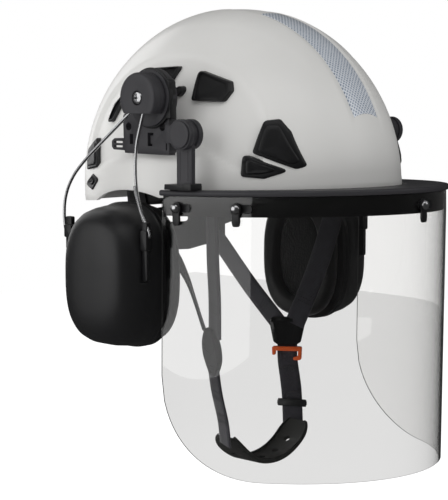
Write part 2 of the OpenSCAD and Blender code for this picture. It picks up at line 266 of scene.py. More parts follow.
def square_to(way, wide):
    """The part of a cross direction that is square to the way along, as a unit."""
    return (wide - way * wide.dot(way)).normalized()


def tube(name, path, radius, steps=12):
    """A round tube along a path, with its frame carried along so that it doesn't twist."""
    path = [Vector(p) for p in path]
    u = None
    rings = []
    for i, point in enumerate(path):
        way = heading(path, i)
        u = frame_across(way)[0] if u is None else (u - way * u.dot(way)).normalized()
        v = way.cross(u)
        turns = [k * math.tau / steps for k in range(steps)]
        rings.append([point + (u * math.cos(a) + v * math.sin(a)) * radius for a in turns])
    return lofted(name, rings, 60)


def ribbon(name, points, wide, width=STRAP_W, thick=STRAP_T, steps=8):
    """Webbing along a smooth path, with UVs in millimetres: across, then along."""
    path = curve_through(points, steps)
    wide = Vector(wide)
    half, t, r = width / 2, thick / 2, thick * 0.3
    section = [(-half + r, -t), (-half * 0.5, -t), (0, -t), (half * 0.5, -t), (half - r, -t),
               (half, -t + r), (half, t - r), (half - r, t), (half * 0.5, t), (0, t),
               (-half * 0.5, t), (-half + r, t), (-half, t - r), (-half, -t + r)]
    rings, along, run = [], [], 0
    for i, point in enumerate(path):
        way = heading(path, i)
        u = square_to(way, wide)
        v = way.cross(u)
        rings.append([point + u * a + v * b for a, b in section])
        run += (point - path[i - 1]).length if i else 0
        along.append(run)
    count = len(section)
    points_all = [p for ring in rings for p in ring]
    faces = [(i * count + j, i * count + (j + 1) % count,
              (i + 1) * count + (j + 1) % count, (i + 1) * count + j)
             for i in range(len(rings) - 1) for j in range(count)]
    faces += [tuple(range(count))[::-1], tuple(range(len(points_all) - count, len(points_all)))]
    data = bpy.data.meshes.new(name)
    data.from_pydata([tuple(p * MM) for p in points_all], [], faces)
    uv = data.uv_layers.new(name="webbing")
    for loop in data.loops:
        i, j = divmod(loop.vertex_index, count)
        uv.data[loop.index].uv = (section[j][0] / 10 + 0.5, along[i] / 10)
    work = bmesh.new()
    work.from_mesh(data)
    bmesh.ops.recalc_face_normals(work, faces=work.faces)
    work.to_mesh(data)
    work.free()
    piece = bpy.data.objects.new(name, data)
    bpy.context.scene.collection.objects.link(piece)
    smooth(piece, 50)
    return piece


def lifted(piece):
    """Tilts a visor piece, drawn level, up about the hinge line."""
    about = Vector((0, PIVOT_Y, PIVOT_Z)) * MM
    turn = Matrix.Translation(about) @ Matrix.Rotation(-VISOR_LIFT, 4, "X") @ Matrix.Translation(-about)
    piece.data.transform(turn)
    return piece


def placed(piece, at, turn=(0, 0, 0)):
    """Moves a piece's mesh, drawn round the origin, to its place; turn is in degrees about X, Y, Z."""
    spin = Matrix.Identity(4)
    for axis, degrees in zip("XYZ", turn):
        spin = Matrix.Rotation(math.radians(degrees), 4, axis) @ spin
    piece.data.transform(Matrix.Translation(Vector(at) * MM) @ spin)
    return piece


# ---------------------------------------------------------------- shader node groups
def node_group(name, inputs, outputs):
    group = bpy.data.node_groups.new(name, "ShaderNodeTree")
    for label, kind, value in inputs:
        socket = group.interface.new_socket(label, in_out="INPUT", socket_type="NodeSocket" + kind)
        if value is not None:
            socket.default_value = value
    for label, kind in outputs:
        group.interface.new_socket(label, in_out="OUTPUT", socket_type="NodeSocket" + kind)
    return group, group.nodes.new("NodeGroupInput"), group.nodes.new("NodeGroupOutput")


def node(tree, kind, links=None, **values):
    """A node with its inputs linked or set by name or number, and its properties set by name."""
    made = tree.nodes.new(kind)
    for key, value in values.items():
        setattr(made, key, value)
    for key, value in (links or {}).items():
        if isinstance(value, bpy.types.NodeSocket):
            tree.links.new(value, made.inputs[key])
        else:
            made.inputs[key].default_value = value
    return made


def math_node(tree, operation, a, b=None, clamp=False):
    made = node(tree, "ShaderNodeMath", {0: a} if b is None else {0: a, 1: b}, operation=operation)
    made.use_clamp = clamp
    return made.outputs[0]


def noise(tree, vector, scale, detail=3, rough=0.5):
    return node(tree, "ShaderNodeTexNoise", {"Vector": vector, "Scale": scale, "Detail": detail,
                                             "Roughness": rough}).outputs["Fac"]


def ramp(tree, value, low, high, to_low=0.0, to_high=1.0):
    return node(tree, "ShaderNodeMapRange", {"Value": value, "From Min": low, "From Max": high,
                                             "To Min": to_low, "To Max": to_high}).outputs[0]


def blend_colour(tree, factor, a, b, mode="MIX"):
    made = node(tree, "ShaderNodeMix", data_type="RGBA", blend_type=mode)
    for socket, value in zip((made.inputs[0], made.inputs[6], made.inputs[7]), (factor, a, b)):
        if isinstance(value, bpy.types.NodeSocket):
            tree.links.new(value, socket)
        else:
            socket.default_value = value
    return made.outputs[2]


def moulded_group():
    """Moulded plastic: faint mottling, fine grain and uneven gloss."""
    group, inn, out = node_group("moulded", [
        ("Vector", "Vector", None), ("Base", "Color", (0.5, 0.5, 0.5, 1)), ("Mottle", "Float", 0.05),
        ("Roughness", "Float", 0.4), ("Uneven", "Float", 0.1), ("Grain scale", "Float", 1800.0),
        ("Grain depth", "Float", 0.1)],
        [("Color", "Color"), ("Roughness", "Float"), ("Normal", "Vector")])
    broad = noise(group, inn.outputs["Vector"], 28, 4)
    middle = noise(group, inn.outputs["Vector"], 160, 4, 0.6)
    fine = noise(group, inn.outputs["Vector"], inn.outputs["Grain scale"], 2)
    shade = math_node(group, "ADD", math_node(group, "MULTIPLY", broad, 0.65),
                      math_node(group, "MULTIPLY", middle, 0.35))
    centred = math_node(group, "SUBTRACT", shade, 0.5)
    level = math_node(group, "ADD", 1.0, math_node(group, "MULTIPLY", centred, inn.outputs["Mottle"]))
    tint = node(group, "ShaderNodeVectorMath", {0: inn.outputs["Base"]}, operation="SCALE")
    group.links.new(level, tint.inputs["Scale"])
    rough = math_node(group, "ADD", inn.outputs["Roughness"],
                      math_node(group, "MULTIPLY", centred, inn.outputs["Uneven"]), clamp=True)
    bump = node(group, "ShaderNodeBump", {"Height": fine, "Strength": inn.outputs["Grain depth"],
                                          "Distance": 0.0002})
    group.links.new(tint.outputs[0], out.inputs["Color"])
    group.links.new(rough, out.inputs["Roughness"])
    group.links.new(bump.outputs[0], out.inputs["Normal"])
    return group


def wear_group():
    """Dust on what faces up, and fine handling scratches."""
    group, inn, out = node_group("wear", [
        ("Vector", "Vector", None), ("Color", "Color", (0.5, 0.5, 0.5, 1)), ("Roughness", "Float", 0.4),
        ("Dust", "Float", 0.1), ("Scratches", "Float", 0.1)],
        [("Color", "Color"), ("Roughness", "Float")])
    up = node(group, "ShaderNodeSeparateXYZ",
              {0: node(group, "ShaderNodeNewGeometry").outputs["Normal"]}).outputs["Z"]
    patches = ramp(group, noise(group, inn.outputs["Vector"], 45, 5, 0.65), 0.45, 0.7)
    dust = math_node(group, "MULTIPLY", math_node(group, "MULTIPLY", ramp(group, up, 0.1, 0.9), patches),
                     inn.outputs["Dust"])
    stretched = node(group, "ShaderNodeMapping", {"Vector": inn.outputs["Vector"],
                                                  "Scale": (1.0, 0.12, 1.4), "Rotation": (0.5, 0.3, 0.4)})
    lines = ramp(group, noise(group, stretched.outputs[0], 900, 2), 0.68, 0.74)
    scratches = math_node(group, "MULTIPLY", lines, inn.outputs["Scratches"])
    colour = blend_colour(group, dust, inn.outputs["Color"], (0.42, 0.4, 0.37, 1))
    rough = math_node(group, "ADD", inn.outputs["Roughness"],
                      math_node(group, "ADD", math_node(group, "MULTIPLY", dust, 0.5),
                                math_node(group, "MULTIPLY", scratches, 0.4)), clamp=True)
    group.links.new(colour, out.inputs["Color"])
    group.links.new(rough, out.inputs["Roughness"])
    return group


def weave_group():
    """Webbing: fine ribs along and across, from UVs in centimetres."""
    group, inn, out = node_group("weave", [
        ("Vector", "Vector", None), ("Base", "Color", (0.1, 0.1, 0.1, 1)), ("Ribs", "Float", 14.0),
        ("Depth", "Float", 0.5)],
        [("Color", "Color"), ("Roughness", "Float"), ("Normal", "Vector")])
    parts = node(group, "ShaderNodeSeparateXYZ", {0: inn.outputs["Vector"]})
    pitch = math_node(group, "MULTIPLY", inn.outputs["Ribs"], math.tau)
    across = math_node(group, "SINE", math_node(group, "MULTIPLY", parts.outputs["X"], pitch))
    slanted = math_node(group, "ADD", math_node(group, "MULTIPLY", parts.outputs["Y"], pitch),
                        math_node(group, "MULTIPLY", across, 1.1))
    along = math_node(group, "SINE", slanted)
    height = math_node(group, "ADD", math_node(group, "MULTIPLY", across, 0.5), along)
    level = ramp(group, height, -1.5, 1.5, 0.72, 1.2)
    patchy = ramp(group, noise(group, inn.outputs["Vector"], 1.3, 4), 0.3, 0.7, 0.88, 1.12)
    tint = node(group, "ShaderNodeVectorMath", {0: inn.outputs["Base"]}, operation="SCALE")
    group.links.new(math_node(group, "MULTIPLY", level, patchy), tint.inputs["Scale"])
    bump = node(group, "ShaderNodeBump", {"Height": height, "Strength": inn.outputs["Depth"],
                                          "Distance": 0.00015})
    group.links.new(tint.outputs[0], out.inputs["Color"])
    group.links.new(ramp(group, height, -1.5, 1.5, 0.75, 0.5), out.inputs["Roughness"])
    group.links.new(bump.outputs[0], out.inputs["Normal"])
    return group


GROUPS = {"moulded": moulded_group(), "wear": wear_group(), "weave": weave_group()}


def placed_group(tree, name, links):
    made = tree.nodes.new("ShaderNodeGroup")
    made.node_tree = GROUPS[name]
    for key, value in links.items():
        if isinstance(value, bpy.types.NodeSocket):
            tree.links.new(value, made.inputs[key])
        else:
            made.inputs[key].default_value = value
    return made.outputs


def new_material(name, **sockets):
    """A material with a Principled shader whose uniform sockets are set directly."""
    material = bpy.data.materials.new(name)
    material.use_nodes = True
    tree = material.node_tree
    shader = tree.nodes["Principled BSDF"]
    for key, value in sockets.items():
        shader.inputs[key.replace("_", " ")].default_value = value
    coords = tree.nodes.new("ShaderNodeTexCoord")
    return material, tree, shader, coords


def plastic(name, colour, rough, mottle=0.08, uneven=0.12, grain=1800.0, depth=0.12, dust=0.05,
            scratches=0.15, **sockets):
    """Moulded plastic with dust and scratches."""
    material, tree, shader, coords = new_material(name, **sockets)
    base = placed_group(tree, "moulded", {"Vector": coords.outputs["Object"], "Base": (*colour, 1),
                                          "Mottle": mottle, "Roughness": rough, "Uneven": uneven,
                                          "Grain scale": grain, "Grain depth": depth})
    worn = placed_group(tree, "wear", {"Vector": coords.outputs["Object"], "Color": base["Color"],
                                       "Roughness": base["Roughness"], "Dust": dust,
                                       "Scratches": scratches})
    tree.links.new(worn["Color"], shader.inputs["Base Color"])
    tree.links.new(worn["Roughness"], shader.inputs["Roughness"])
    tree.links.new(base["Normal"], shader.inputs["Normal"])
    return material


def webbing_material(name, colour, ribs):
    material, tree, shader, coords = new_material(name, Sheen_Weight=0.35, Sheen_Roughness=0.4,
                                                  Specular_IOR_Level=0.35)
    cloth = placed_group(tree, "weave", {"Vector": coords.outputs["UV"], "Base": (*colour, 1),
                                         "Ribs": ribs, "Depth": 0.6})
    for label, socket in (("Color", "Base Color"), ("Roughness", "Roughness"), ("Normal", "Normal")):
        tree.links.new(cloth[label], shader.inputs[socket])
    return material


def steel_material(name, colour, rough):
    """Polished steel with slight handling marks."""
    material, tree, shader, coords = new_material(name, Metallic=1.0)
    base = placed_group(tree, "moulded", {"Vector": coords.outputs["Object"], "Base": (*colour, 1),
                                          "Mottle": 0.1, "Roughness": rough, "Uneven": 0.15,
                                          "Grain scale": 3500.0, "Grain depth": 0.05})
    for label, socket in (("Color", "Base Color"), ("Roughness", "Roughness"), ("Normal", "Normal")):
        tree.links.new(base[label], shader.inputs[socket])
    return material


def film_material():
    """Silver retroreflective film: a pale sheet with a printed lattice of dark diamonds."""
    material, tree, shader, coords = new_material("reflective_film", Coat_Weight=0.6,
                                                  Coat_Roughness=0.12)
    parts = node(tree, "ShaderNodeSeparateXYZ", {0: coords.outputs["UV"]})
    total = math_node(tree, "ADD", parts.outputs["X"], parts.outputs["Y"])
    gap = math_node(tree, "SUBTRACT", parts.outputs["X"], parts.outputs["Y"])
    waves = [math_node(tree, "ABSOLUTE", math_node(tree, "SINE", math_node(tree, "MULTIPLY", v, math.pi)))
             for v in (total, gap)]
    spots = ramp(tree, math_node(tree, "MINIMUM", *waves), 0.55, 0.72)
    cells = noise(tree, coords.outputs["UV"], 0.6, 3)
    colour = blend_colour(tree, spots, (0.9, 0.94, 1.0, 1), (0.2, 0.27, 0.38, 1))
    shade = blend_colour(tree, ramp(tree, cells, 0.3, 0.75, 0.0, 0.35), colour, (0.85, 0.9, 0.97, 1))
    tree.links.new(shade, shader.inputs["Base Color"])
    tree.links.new(ramp(tree, spots, 0, 1, 0.28, 0.5), shader.inputs["Roughness"])
    tree.links.new(ramp(tree, spots, 0, 1, 0.25, 0.05), shader.inputs["Metallic"])
    bump = node(tree, "ShaderNodeBump", {"Height": spots, "Strength": 0.3, "Distance": 0.0001})
    tree.links.new(bump.outputs[0], shader.inputs["Normal"])
    return material


def clear_material():
    """Clear polycarbonate with faint wipe marks."""
    material, tree, shader, coords = new_material("clear_sheet", Transmission_Weight=1.0, IOR=1.45,
                                                  Base_Color=(0.99, 0.987, 0.98, 1))
    marks = noise(tree, node(tree, "ShaderNodeMapping", {"Vector": coords.outputs["Object"],
                                                         "Scale": (1, 1, 0.2)}).outputs[0], 60, 5, 0.7)
    tree.links.new(ramp(tree, marks, 0.5, 0.8, 0.0, 0.012), shader.inputs["Roughness"])
    return material


def vinyl_material(name, colour):
    """Soft vinyl skin: pebbled, with fine creases."""
    material, tree, shader, coords = new_material(name, Specular_IOR_Level=0.45, Sheen_Weight=0.15)
    vector = coords.outputs["Object"]
    pebble = node(tree, "ShaderNodeTexVoronoi", {"Vector": vector, "Scale": 900.0})
    creases = noise(tree, node(tree, "ShaderNodeMapping", {"Vector": vector, "Scale": (3, 1, 1)}).outputs[0],
                    140, 4, 0.6)
    height = math_node(tree, "ADD", math_node(tree, "MULTIPLY", pebble.outputs["Distance"], 0.35), creases)
    bump = node(tree, "ShaderNodeBump", {"Height": height, "Strength": 0.2, "Distance": 0.0004})
    base = placed_group(tree, "moulded", {"Vector": vector, "Base": (*colour, 1), "Mottle": 0.25,
                                          "Roughness": 0.46, "Uneven": 0.2, "Grain scale": 900.0,
                                          "Grain depth": 0.0})
    tree.links.new(base["Color"], shader.inputs["Base Color"])
    tree.links.new(base["Roughness"], shader.inputs["Roughness"])
    tree.links.new(bump.outputs[0], shader.inputs["Normal"])
    return material


def knit_material(name, colour, scale):
    """Open foam or knitted cloth from cells in object space."""
    material, tree, shader, coords = new_material(name, Sheen_Weight=0.3, Roughness=0.9,
                                                  Specular_IOR_Level=0.2)
    cells = node(tree, "ShaderNodeTexVoronoi", {"Vector": coords.outputs["Object"], "Scale": scale})
    patchy = noise(tree, coords.outputs["Object"], 70, 4)
    level = math_node(tree, "MULTIPLY", ramp(tree, cells.outputs["Distance"], 0, 0.8, 1.25, 0.6),
                      ramp(tree, patchy, 0.3, 0.7, 0.85, 1.15))
    tint = node(tree, "ShaderNodeVectorMath", {0: (*colour,)}, operation="SCALE")
    tree.links.new(level, tint.inputs["Scale"])
    bump = node(tree, "ShaderNodeBump", {"Height": cells.outputs["Distance"], "Strength": 0.7,
                                         "Distance": 0.0006})
    bump.invert = True
    tree.links.new(tint.outputs[0], shader.inputs["Base Color"])
    tree.links.new(bump.outputs[0], shader.inputs["Normal"])
    return material


FINISH = {
    "shell_plastic": plastic("shell_plastic", (0.8, 0.795, 0.775), 0.36, mottle=0.03, uneven=0.1, grain=900.0,
                             depth=0.05, dust=0.03, scratches=0.1, Coat_Weight=0.2, Coat_Roughness=0.25),
    "black_plastic": plastic("black_plastic", (0.008, 0.008, 0.009), 0.4, mottle=0.4, dust=0.015),
    "glossy_plastic": plastic("glossy_plastic", (0.006, 0.006, 0.0065), 0.2, mottle=0.3, dust=0.01,
        scratches=0.1,
                              Coat_Weight=0.4, Coat_Roughness=0.08),
    "grey_black_plastic": plastic("grey_black_plastic", (0.034, 0.033, 0.038), 0.5, mottle=0.35, dust=0.04),
    "cup_plastic": plastic("cup_plastic", (0.011, 0.011, 0.012), 0.4, mottle=0.2, grain=2500.0, depth=0.2,
                           dust=0.01),
    "orange_plastic": plastic("orange_plastic", (0.8, 0.12, 0.02), 0.35, mottle=0.12),
    "chin_rubber": plastic("chin_rubber", (0.016, 0.0165, 0.014), 0.55, mottle=0.3, grain=1200.0, depth=0.3,
                           dust=0.01),
    "steel": steel_material("steel", (0.62, 0.62, 0.63), 0.2),
    "webbing": webbing_material("webbing", (0.034, 0.0323, 0.0408), 9.0),
    "reflective_film": film_material(),
    "clear_sheet": clear_material(),
    # The clear sheet's cut edge in a dark grey, partly opaque finish: painted shade for the thin dark line a
    # clear edge shows.
    "sheet_edge": plastic("sheet_edge", (0.1, 0.105, 0.105), 0.3, mottle=0.2, dust=0.0,
        Transmission_Weight=0.3),
    "cushion_skin": vinyl_material("cushion_skin", (0.006, 0.006, 0.0065)),
    "thread": knit_material("thread", (0.03, 0.03, 0.033), 2200.0),
    "foam": knit_material("foam", (0.006, 0.006, 0.0065), 700.0),
    "sweatband_pad": knit_material("sweatband_pad", (0.02, 0.02, 0.023), 900.0),
}


def dress(piece, finish, body, *replaced, slot=None):
    """Gives a piece its finish and the body it moves with, and hides the CAD nodes it stands for."""
    if not piece.data.materials:
        piece.data.materials.append(FINISH[finish])
    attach(piece, body)
    if replaced:
        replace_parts(piece, *replaced)
    return piece


def pair(piece, finish, body, *replaced, slot=None):
    """Dresses a right-hand piece and its mirrored twin; body and node names end in _right."""
    base = piece.name.removesuffix("_right")
    twin = mirrored(piece, base + "_left")
    for item, side in ((piece, "right"), (twin, "left")):
        dress(item, finish, body.replace("right", side), *[n.replace("right", side) for n in replaced],
              slot=slot)
    return piece, twin


# ---------------------------------------------------------------- shell
def shell_point(turn, rise, off=0.0):
    """A point `off` inside the shell's outside; turn 0 is the left side, rise is from the rim up."""
    return Vector(((SHELL.x - off) * math.cos(rise) * math.cos(turn),
                   (SHELL.y - off) * math.cos(rise) * math.sin(turn),
                   (SHELL.z - off) * math.sin(rise)))


def on_side(y, z, grow=0.0, side=RIGHT):
    """The point of the shell's outside, grown by `grow`, at a given y and z."""
    room = 1 - (y / (SHELL.y + grow)) ** 2 - (z / (SHELL.z + grow)) ** 2
    return Vector((side * (SHELL.x + grow) * math.sqrt(max(room, 0.0)), y, z))


def rim_height(y):
    """Height of the rim: a plane falling to the nape, arched over each ear."""
    plane = -NAPE_DROP * (y + SHELL.y) / (2 * SHELL.y)
    reach = 120 ** 2 - (y - 15) ** 2
    arch = -124 + math.sqrt(reach) if reach > 0 else plane
    return max(plane, arch)


def soft_step(value, low, high):
    t = min(max((value - low) / (high - low), 0.0), 1.0)
    return t * t * (3 - 2 * t)


PANEL_LINE = [(-112, -8), (-84, 9), (-56, 23.5), (-25, 20), (0, 20.5), (46, 14), (120, -2)]


def panel_low(y):
    """The crease under the side panel."""
    for (y0, z0), (y1, z1) in zip(PANEL_LINE, PANEL_LINE[1:]):
        if y <= y1:
            return z0 + (z1 - z0) * (y - y0) / (y1 - y0)
    return PANEL_LINE[-1][1]


def shell_relief(point):
    """How far the moulding stands out from the plain ellipsoid: pressed side panels, a raised crown
    band with a shallow centre channel, and a rolled rim."""
    x, y, z = abs(point.x), point.y, point.z
    oval = math.hypot((y + 8) / 90, (z - 30) / 70)
    inside = soft_step(1.0 - oval, 0.0, 0.065) * soft_step(z - panel_low(y), 0.0, 5.0)
    relief = -2.8 * inside * soft_step(x, 62, 78)
    band_edge = 47 + 0.2 * y
    ends = soft_step(y, -120, -92) * soft_step(-y, -78, -40)
    relief += 0.4 * ends * (1 - soft_step(x, band_edge, band_edge + 8)) * soft_step(z, 40, 70)
    relief -= 1.2 * (1 - soft_step(x, 14.5, 17.5)) * soft_step(y, -136, -124) * soft_step(z, 30, 60) \
        * soft_step(-y, -100, -30)
    rim = rim_height(y)
    relief += 0.9 * (1 - soft_step(z - rim, 3.0, 7.0)) - 0.9
    return min(relief + 0.5, 0.0)


def build_shell():
    turns, rises = 288, 80
    outer, inner = [], []
    for i in range(turns):
        turn = math.tau * i / turns
        flat = Vector((SHELL.x * math.cos(turn), SHELL.y * math.sin(turn), 0))
        # The rim's rise angle is found by stepping, because the rim falls and arches with y
        rim = 0.0
        for _ in range(12):
            spot = flat * math.cos(rim)
            rim = math.asin(max(min(rim_height(spot.y) / SHELL.z, 0.9), -0.9))
        for rows, off in ((outer, 0.0), (inner, WALL)):
            column = []
            for k in range(rises):
                share = k / rises
                rise = rim + (math.pi / 2 - rim) * (share ** 0.9 if k else 0.0)
                point = shell_point(turn, rise, off)
                normal = Vector((point.x / SHELL.x ** 2, point.y / SHELL.y ** 2, point.z / SHELL.z ** 2))
                column.append(point + normal.normalized() * shell_relief(point))
            rows.append(column)
    points, faces = [], []
    for rows in (outer, inner):
        for column in rows:
            points += column
    top_out, top_in = len(points), len(points) + 1
    points += [Vector((0, 0, SHELL.z - 1.6)), Vector((0, 0, SHELL.z - WALL))]
    half = turns * rises
    for i in range(turns):
        a, b = i * rises, (i + 1) % turns * rises
        for k in range(rises - 1):
            faces.append((a + k, b + k, b + k + 1, a + k + 1))
            faces.append((half + a + k, half + a + k + 1, half + b + k + 1, half + b + k))
        faces.append((a + rises - 1, b + rises - 1, top_out))
        faces.append((half + b + rises - 1, half + a + rises - 1, top_in))
        faces.append((a, half + a, half + b, b))
    return mesh_object("shell_moulding", points, faces, 28)


VENTS = [[(-33, 86), (-61, 77), (-64, 70), (-61, 62), (-36, 63)],
         [(-15, 89), (16, 88), (26, 79), (14, 72), (-9.5, 70)],
         [(54, 46), (50, 61), (38, 71), (36, 66), (46, 47)]]
CLIPS = [[(-89, 26), (-92, 48), (-100, 49), (-107, 40), (-118, 17), (-113, 15)],
         [(-83, 24), (-83, 9), (-96, 8), (-110, 13)],
         [(87, 24), (67, 34), (61, 12), (85, 9)],
         [(88, -3), (71, -6), (58, 2), (70, 5)]]
PLUG = (-22.5, 70, 4)


def shrunk(outline, less):
    """The outline moved in by about `less` all round."""
    cy = sum(p[0] for p in outline) / len(outline)
    cz = sum(p[1] for p in outline) / len(outline)
    out = []
    for y, z in outline:
        reach = math.hypot(y - cy, z - cz)
        keep = max(reach - less * 1.3, 0.2) / reach
        out.append((cy + (y - cy) * keep, cz + (z - cz) * keep))
    return out


def subdivided(outline, pitch=2.0):
    """An outline with points at most `pitch` apart."""
    out = []
    for (y0, z0), (y1, z1) in zip(outline, outline[1:] + outline[:1]):
        parts = max(1, round(math.hypot(y1 - y0, z1 - z0) / pitch))
        out += [(y0 + (y1 - y0) * k / parts, z0 + (z1 - z0) * k / parts) for k in range(parts)]
    return out


def shell_patch(name, outline, low, high, edge=0.5, dish=0.0, rounding=2.5, relief=0.6):
    """A plate over an outline that follows the shell: from `low` to `high` off its surface, its face
    rounded over at the edge and dished by `dish` in the middle."""
    base = subdivided(rounded(outline, min(rounding, 3), 4), 2.0)
    rings = []
    for less, lift in ((0, low), (0, high - edge), (edge * 0.3, high - edge * 0.3), (edge, high)):
        rings.append([on_side(y, z, lift - relief) for y, z in shrunk(base, less)])
    for share in (0.25, 0.5, 0.75, 0.92):
        cy = sum(p[0] for p in base) / len(base)
        cz = sum(p[1] for p in base) / len(base)
        level = high - dish * math.sin(share * math.pi / 2)
        ring = shrunk(base, edge)
        rings.append([on_side(cy + (y - cy) * (1 - share), cz + (z - cz) * (1 - share), level - relief)
                      for y, z in ring])
    return lofted(name, rings, 30)


def build_shell_fittings(shell):
    """Cuts the openings and makes the inserts, lamp clips and plugs that fill them."""
    cutters = []
    for outline in VENTS + CLIPS:
        cutters.append(slab("cutter", rounded(outline, 2.5, 4), -125, -40))
    cutters.append(slab("cutter", circle(PLUG[0], PLUG[1], PLUG[2] + 0.1, 24), -125, -50))
    cutters.append(slab("cutter", [(-26, 27), (-8, 27), (-8, 31), (-26, 31)], -125, -80))
    cutters += [mirrored(c, "cutter_left") for c in cutters]
    cut(shell, *cutters)
    bevelled(shell, 0.45, 2, 50)
    vents = []
    for outline in VENTS:
        # A lip that stands just proud, round a filter that sits a little lower
        body = shell_patch("vent", shrunk(outline, 0.15), -4.2, 0.7, 0.6)
        cut(body, slab("pocket", rounded(shrunk(outline, 1.9), 2.0, 4), -130, -40))
        filling = shell_patch("filling", shrunk(outline, 1.5), -4.0, -0.5, 0.3, 0.5)
        vents += [bevelled(body, 0.25, 2), filling]
    inserts = joined("vent_inserts_right", vents)
    pair(inserts, "black_plastic", "helmet")
    clips = []
    for outline in CLIPS:
        low, high = -3.2, 1.4
        face = shell_patch("clip", shrunk(outline, -0.8), low, high, 1.0, 0.9)
        inset = shell_patch("inset", shrunk(outline, 2.4), 0.9, 1.9, 0.8, 0.5)
        clips += [bevelled(face, 0.25, 2), inset]
    clips = joined("lamp_clips_right", clips)
    pair(clips, "black_plastic", "helmet")
    plug = lofted("shell_plug_right", [[on_side(y, z, lift - 0.6) for y, z in circle(PLUG[0], PLUG[1],
        radius, 32)]
                                       for radius, lift in ((3.8, -3.2), (3.8, 0.6), (3.5, 1.1), (2.6, 1.3),
                                                            (2.2, 0.9), (1.0, 0.8))], 30)
    pair(plug, "black_plastic", "helmet")
    return inserts, clips, plug


def build_strip():
    """Reflective film over the front of the crown, in the shallow centre channel."""
    across, along = 14, 60
    points, faces, uvs = [], [], []
    y_front, y_back = -128.5, -36.5
    for lift in (0.35, -0.7):
        for i in range(along + 1):
            # Even steps of angle keep the pattern's pitch even where the shell curves down
            a0 = math.acos(y_front / SHELL.y * -1)
            a1 = math.acos(y_back / SHELL.y * -1)
            angle = a0 + (a1 - a0) * i / along
            y = -(SHELL.y + lift - 1.2) * math.cos(angle)
            for j in range(across + 1):
                x = -STRIP_HALF + 2 * STRIP_HALF * j / across
                grown = lift - 1.2
                room = 1 - (x / (SHELL.x + grown)) ** 2 - (y / (SHELL.y + grown)) ** 2
                points.append((x, y, (SHELL.z + grown) * math.sqrt(max(room, 0))))
                uvs.append((x / 3.4, angle * 138 / 3.4))
    row, layer = across + 1, (along + 1) * (across + 1)
    for i in range(along):
        for j in range(across):
            a = i * row + j
            faces.append((a, a + 1, a + row + 1, a + row))
            faces.append((layer + a, layer + a + row, layer + a + row + 1, layer + a + 1))
    edge = [i for i in range(row)] + [i * row + across for i in range(1, along + 1)] \
        + [along * row + j for j in range(across - 1, -1, -1)] + [i * row for i in range(along - 1, 0, -1)]
    for a, b in zip(edge, edge[1:] + edge[:1]):
        faces.append((a, layer + a, layer + b, b))
    data = bpy.data.meshes.new("reflective_film")
    data.from_pydata([tuple(Vector(p) * MM) for p in points], [], faces)
    layer_uv = data.uv_layers.new(name="film")
    for loop in data.loops:
        layer_uv.data[loop.index].uv = uvs[loop.vertex_index]
    work = bmesh.new()
    work.from_mesh(data)
    bmesh.ops.recalc_face_normals(work, faces=work.faces)
    work.to_mesh(data)
    work.free()
    strip = bpy.data.objects.new("reflective_film", data)
    bpy.context.scene.collection.objects.link(strip)
    smooth(strip, 50)
    return dress(strip, "reflective_film", "helmet", "reflective_strip")


shell = build_shell()
inserts_right, clips_right, plug_right = build_shell_fittings(shell)
dress(shell, "shell_plastic", "helmet", "shell")
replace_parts(inserts_right, "vent_inserts")
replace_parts(clips_right, "lamp_clips")
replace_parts(plug_right, "shell_plugs")
build_strip()


# ---------------------------------------------------------------- adapter, hub and hinge
def across_disc(name, x0, x1, y, z, radius, edge=0.6, dish=0.0, steps=72):
    """A disc along X with rounded rims; `dish` sinks the middle of its outer face (the x0 side)."""
    rings = []
    profile = [(x1, radius - edge), (x1 - edge * 0.3, radius - edge * 0.3), (x1 - edge, radius),
               (x0 + edge, radius), (x0 + edge * 0.3, radius - edge * 0.3), (x0, radius - edge),
               (x0 + dish * 0.4, radius * 0.75), (x0 + dish, radius * 0.45), (x0 + dish, radius * 0.2)]
    for x, r in profile:
        rings.append([(x, py, pz) for py, pz in circle(y, z, r, steps)])
    return lofted(name, rings, 30)


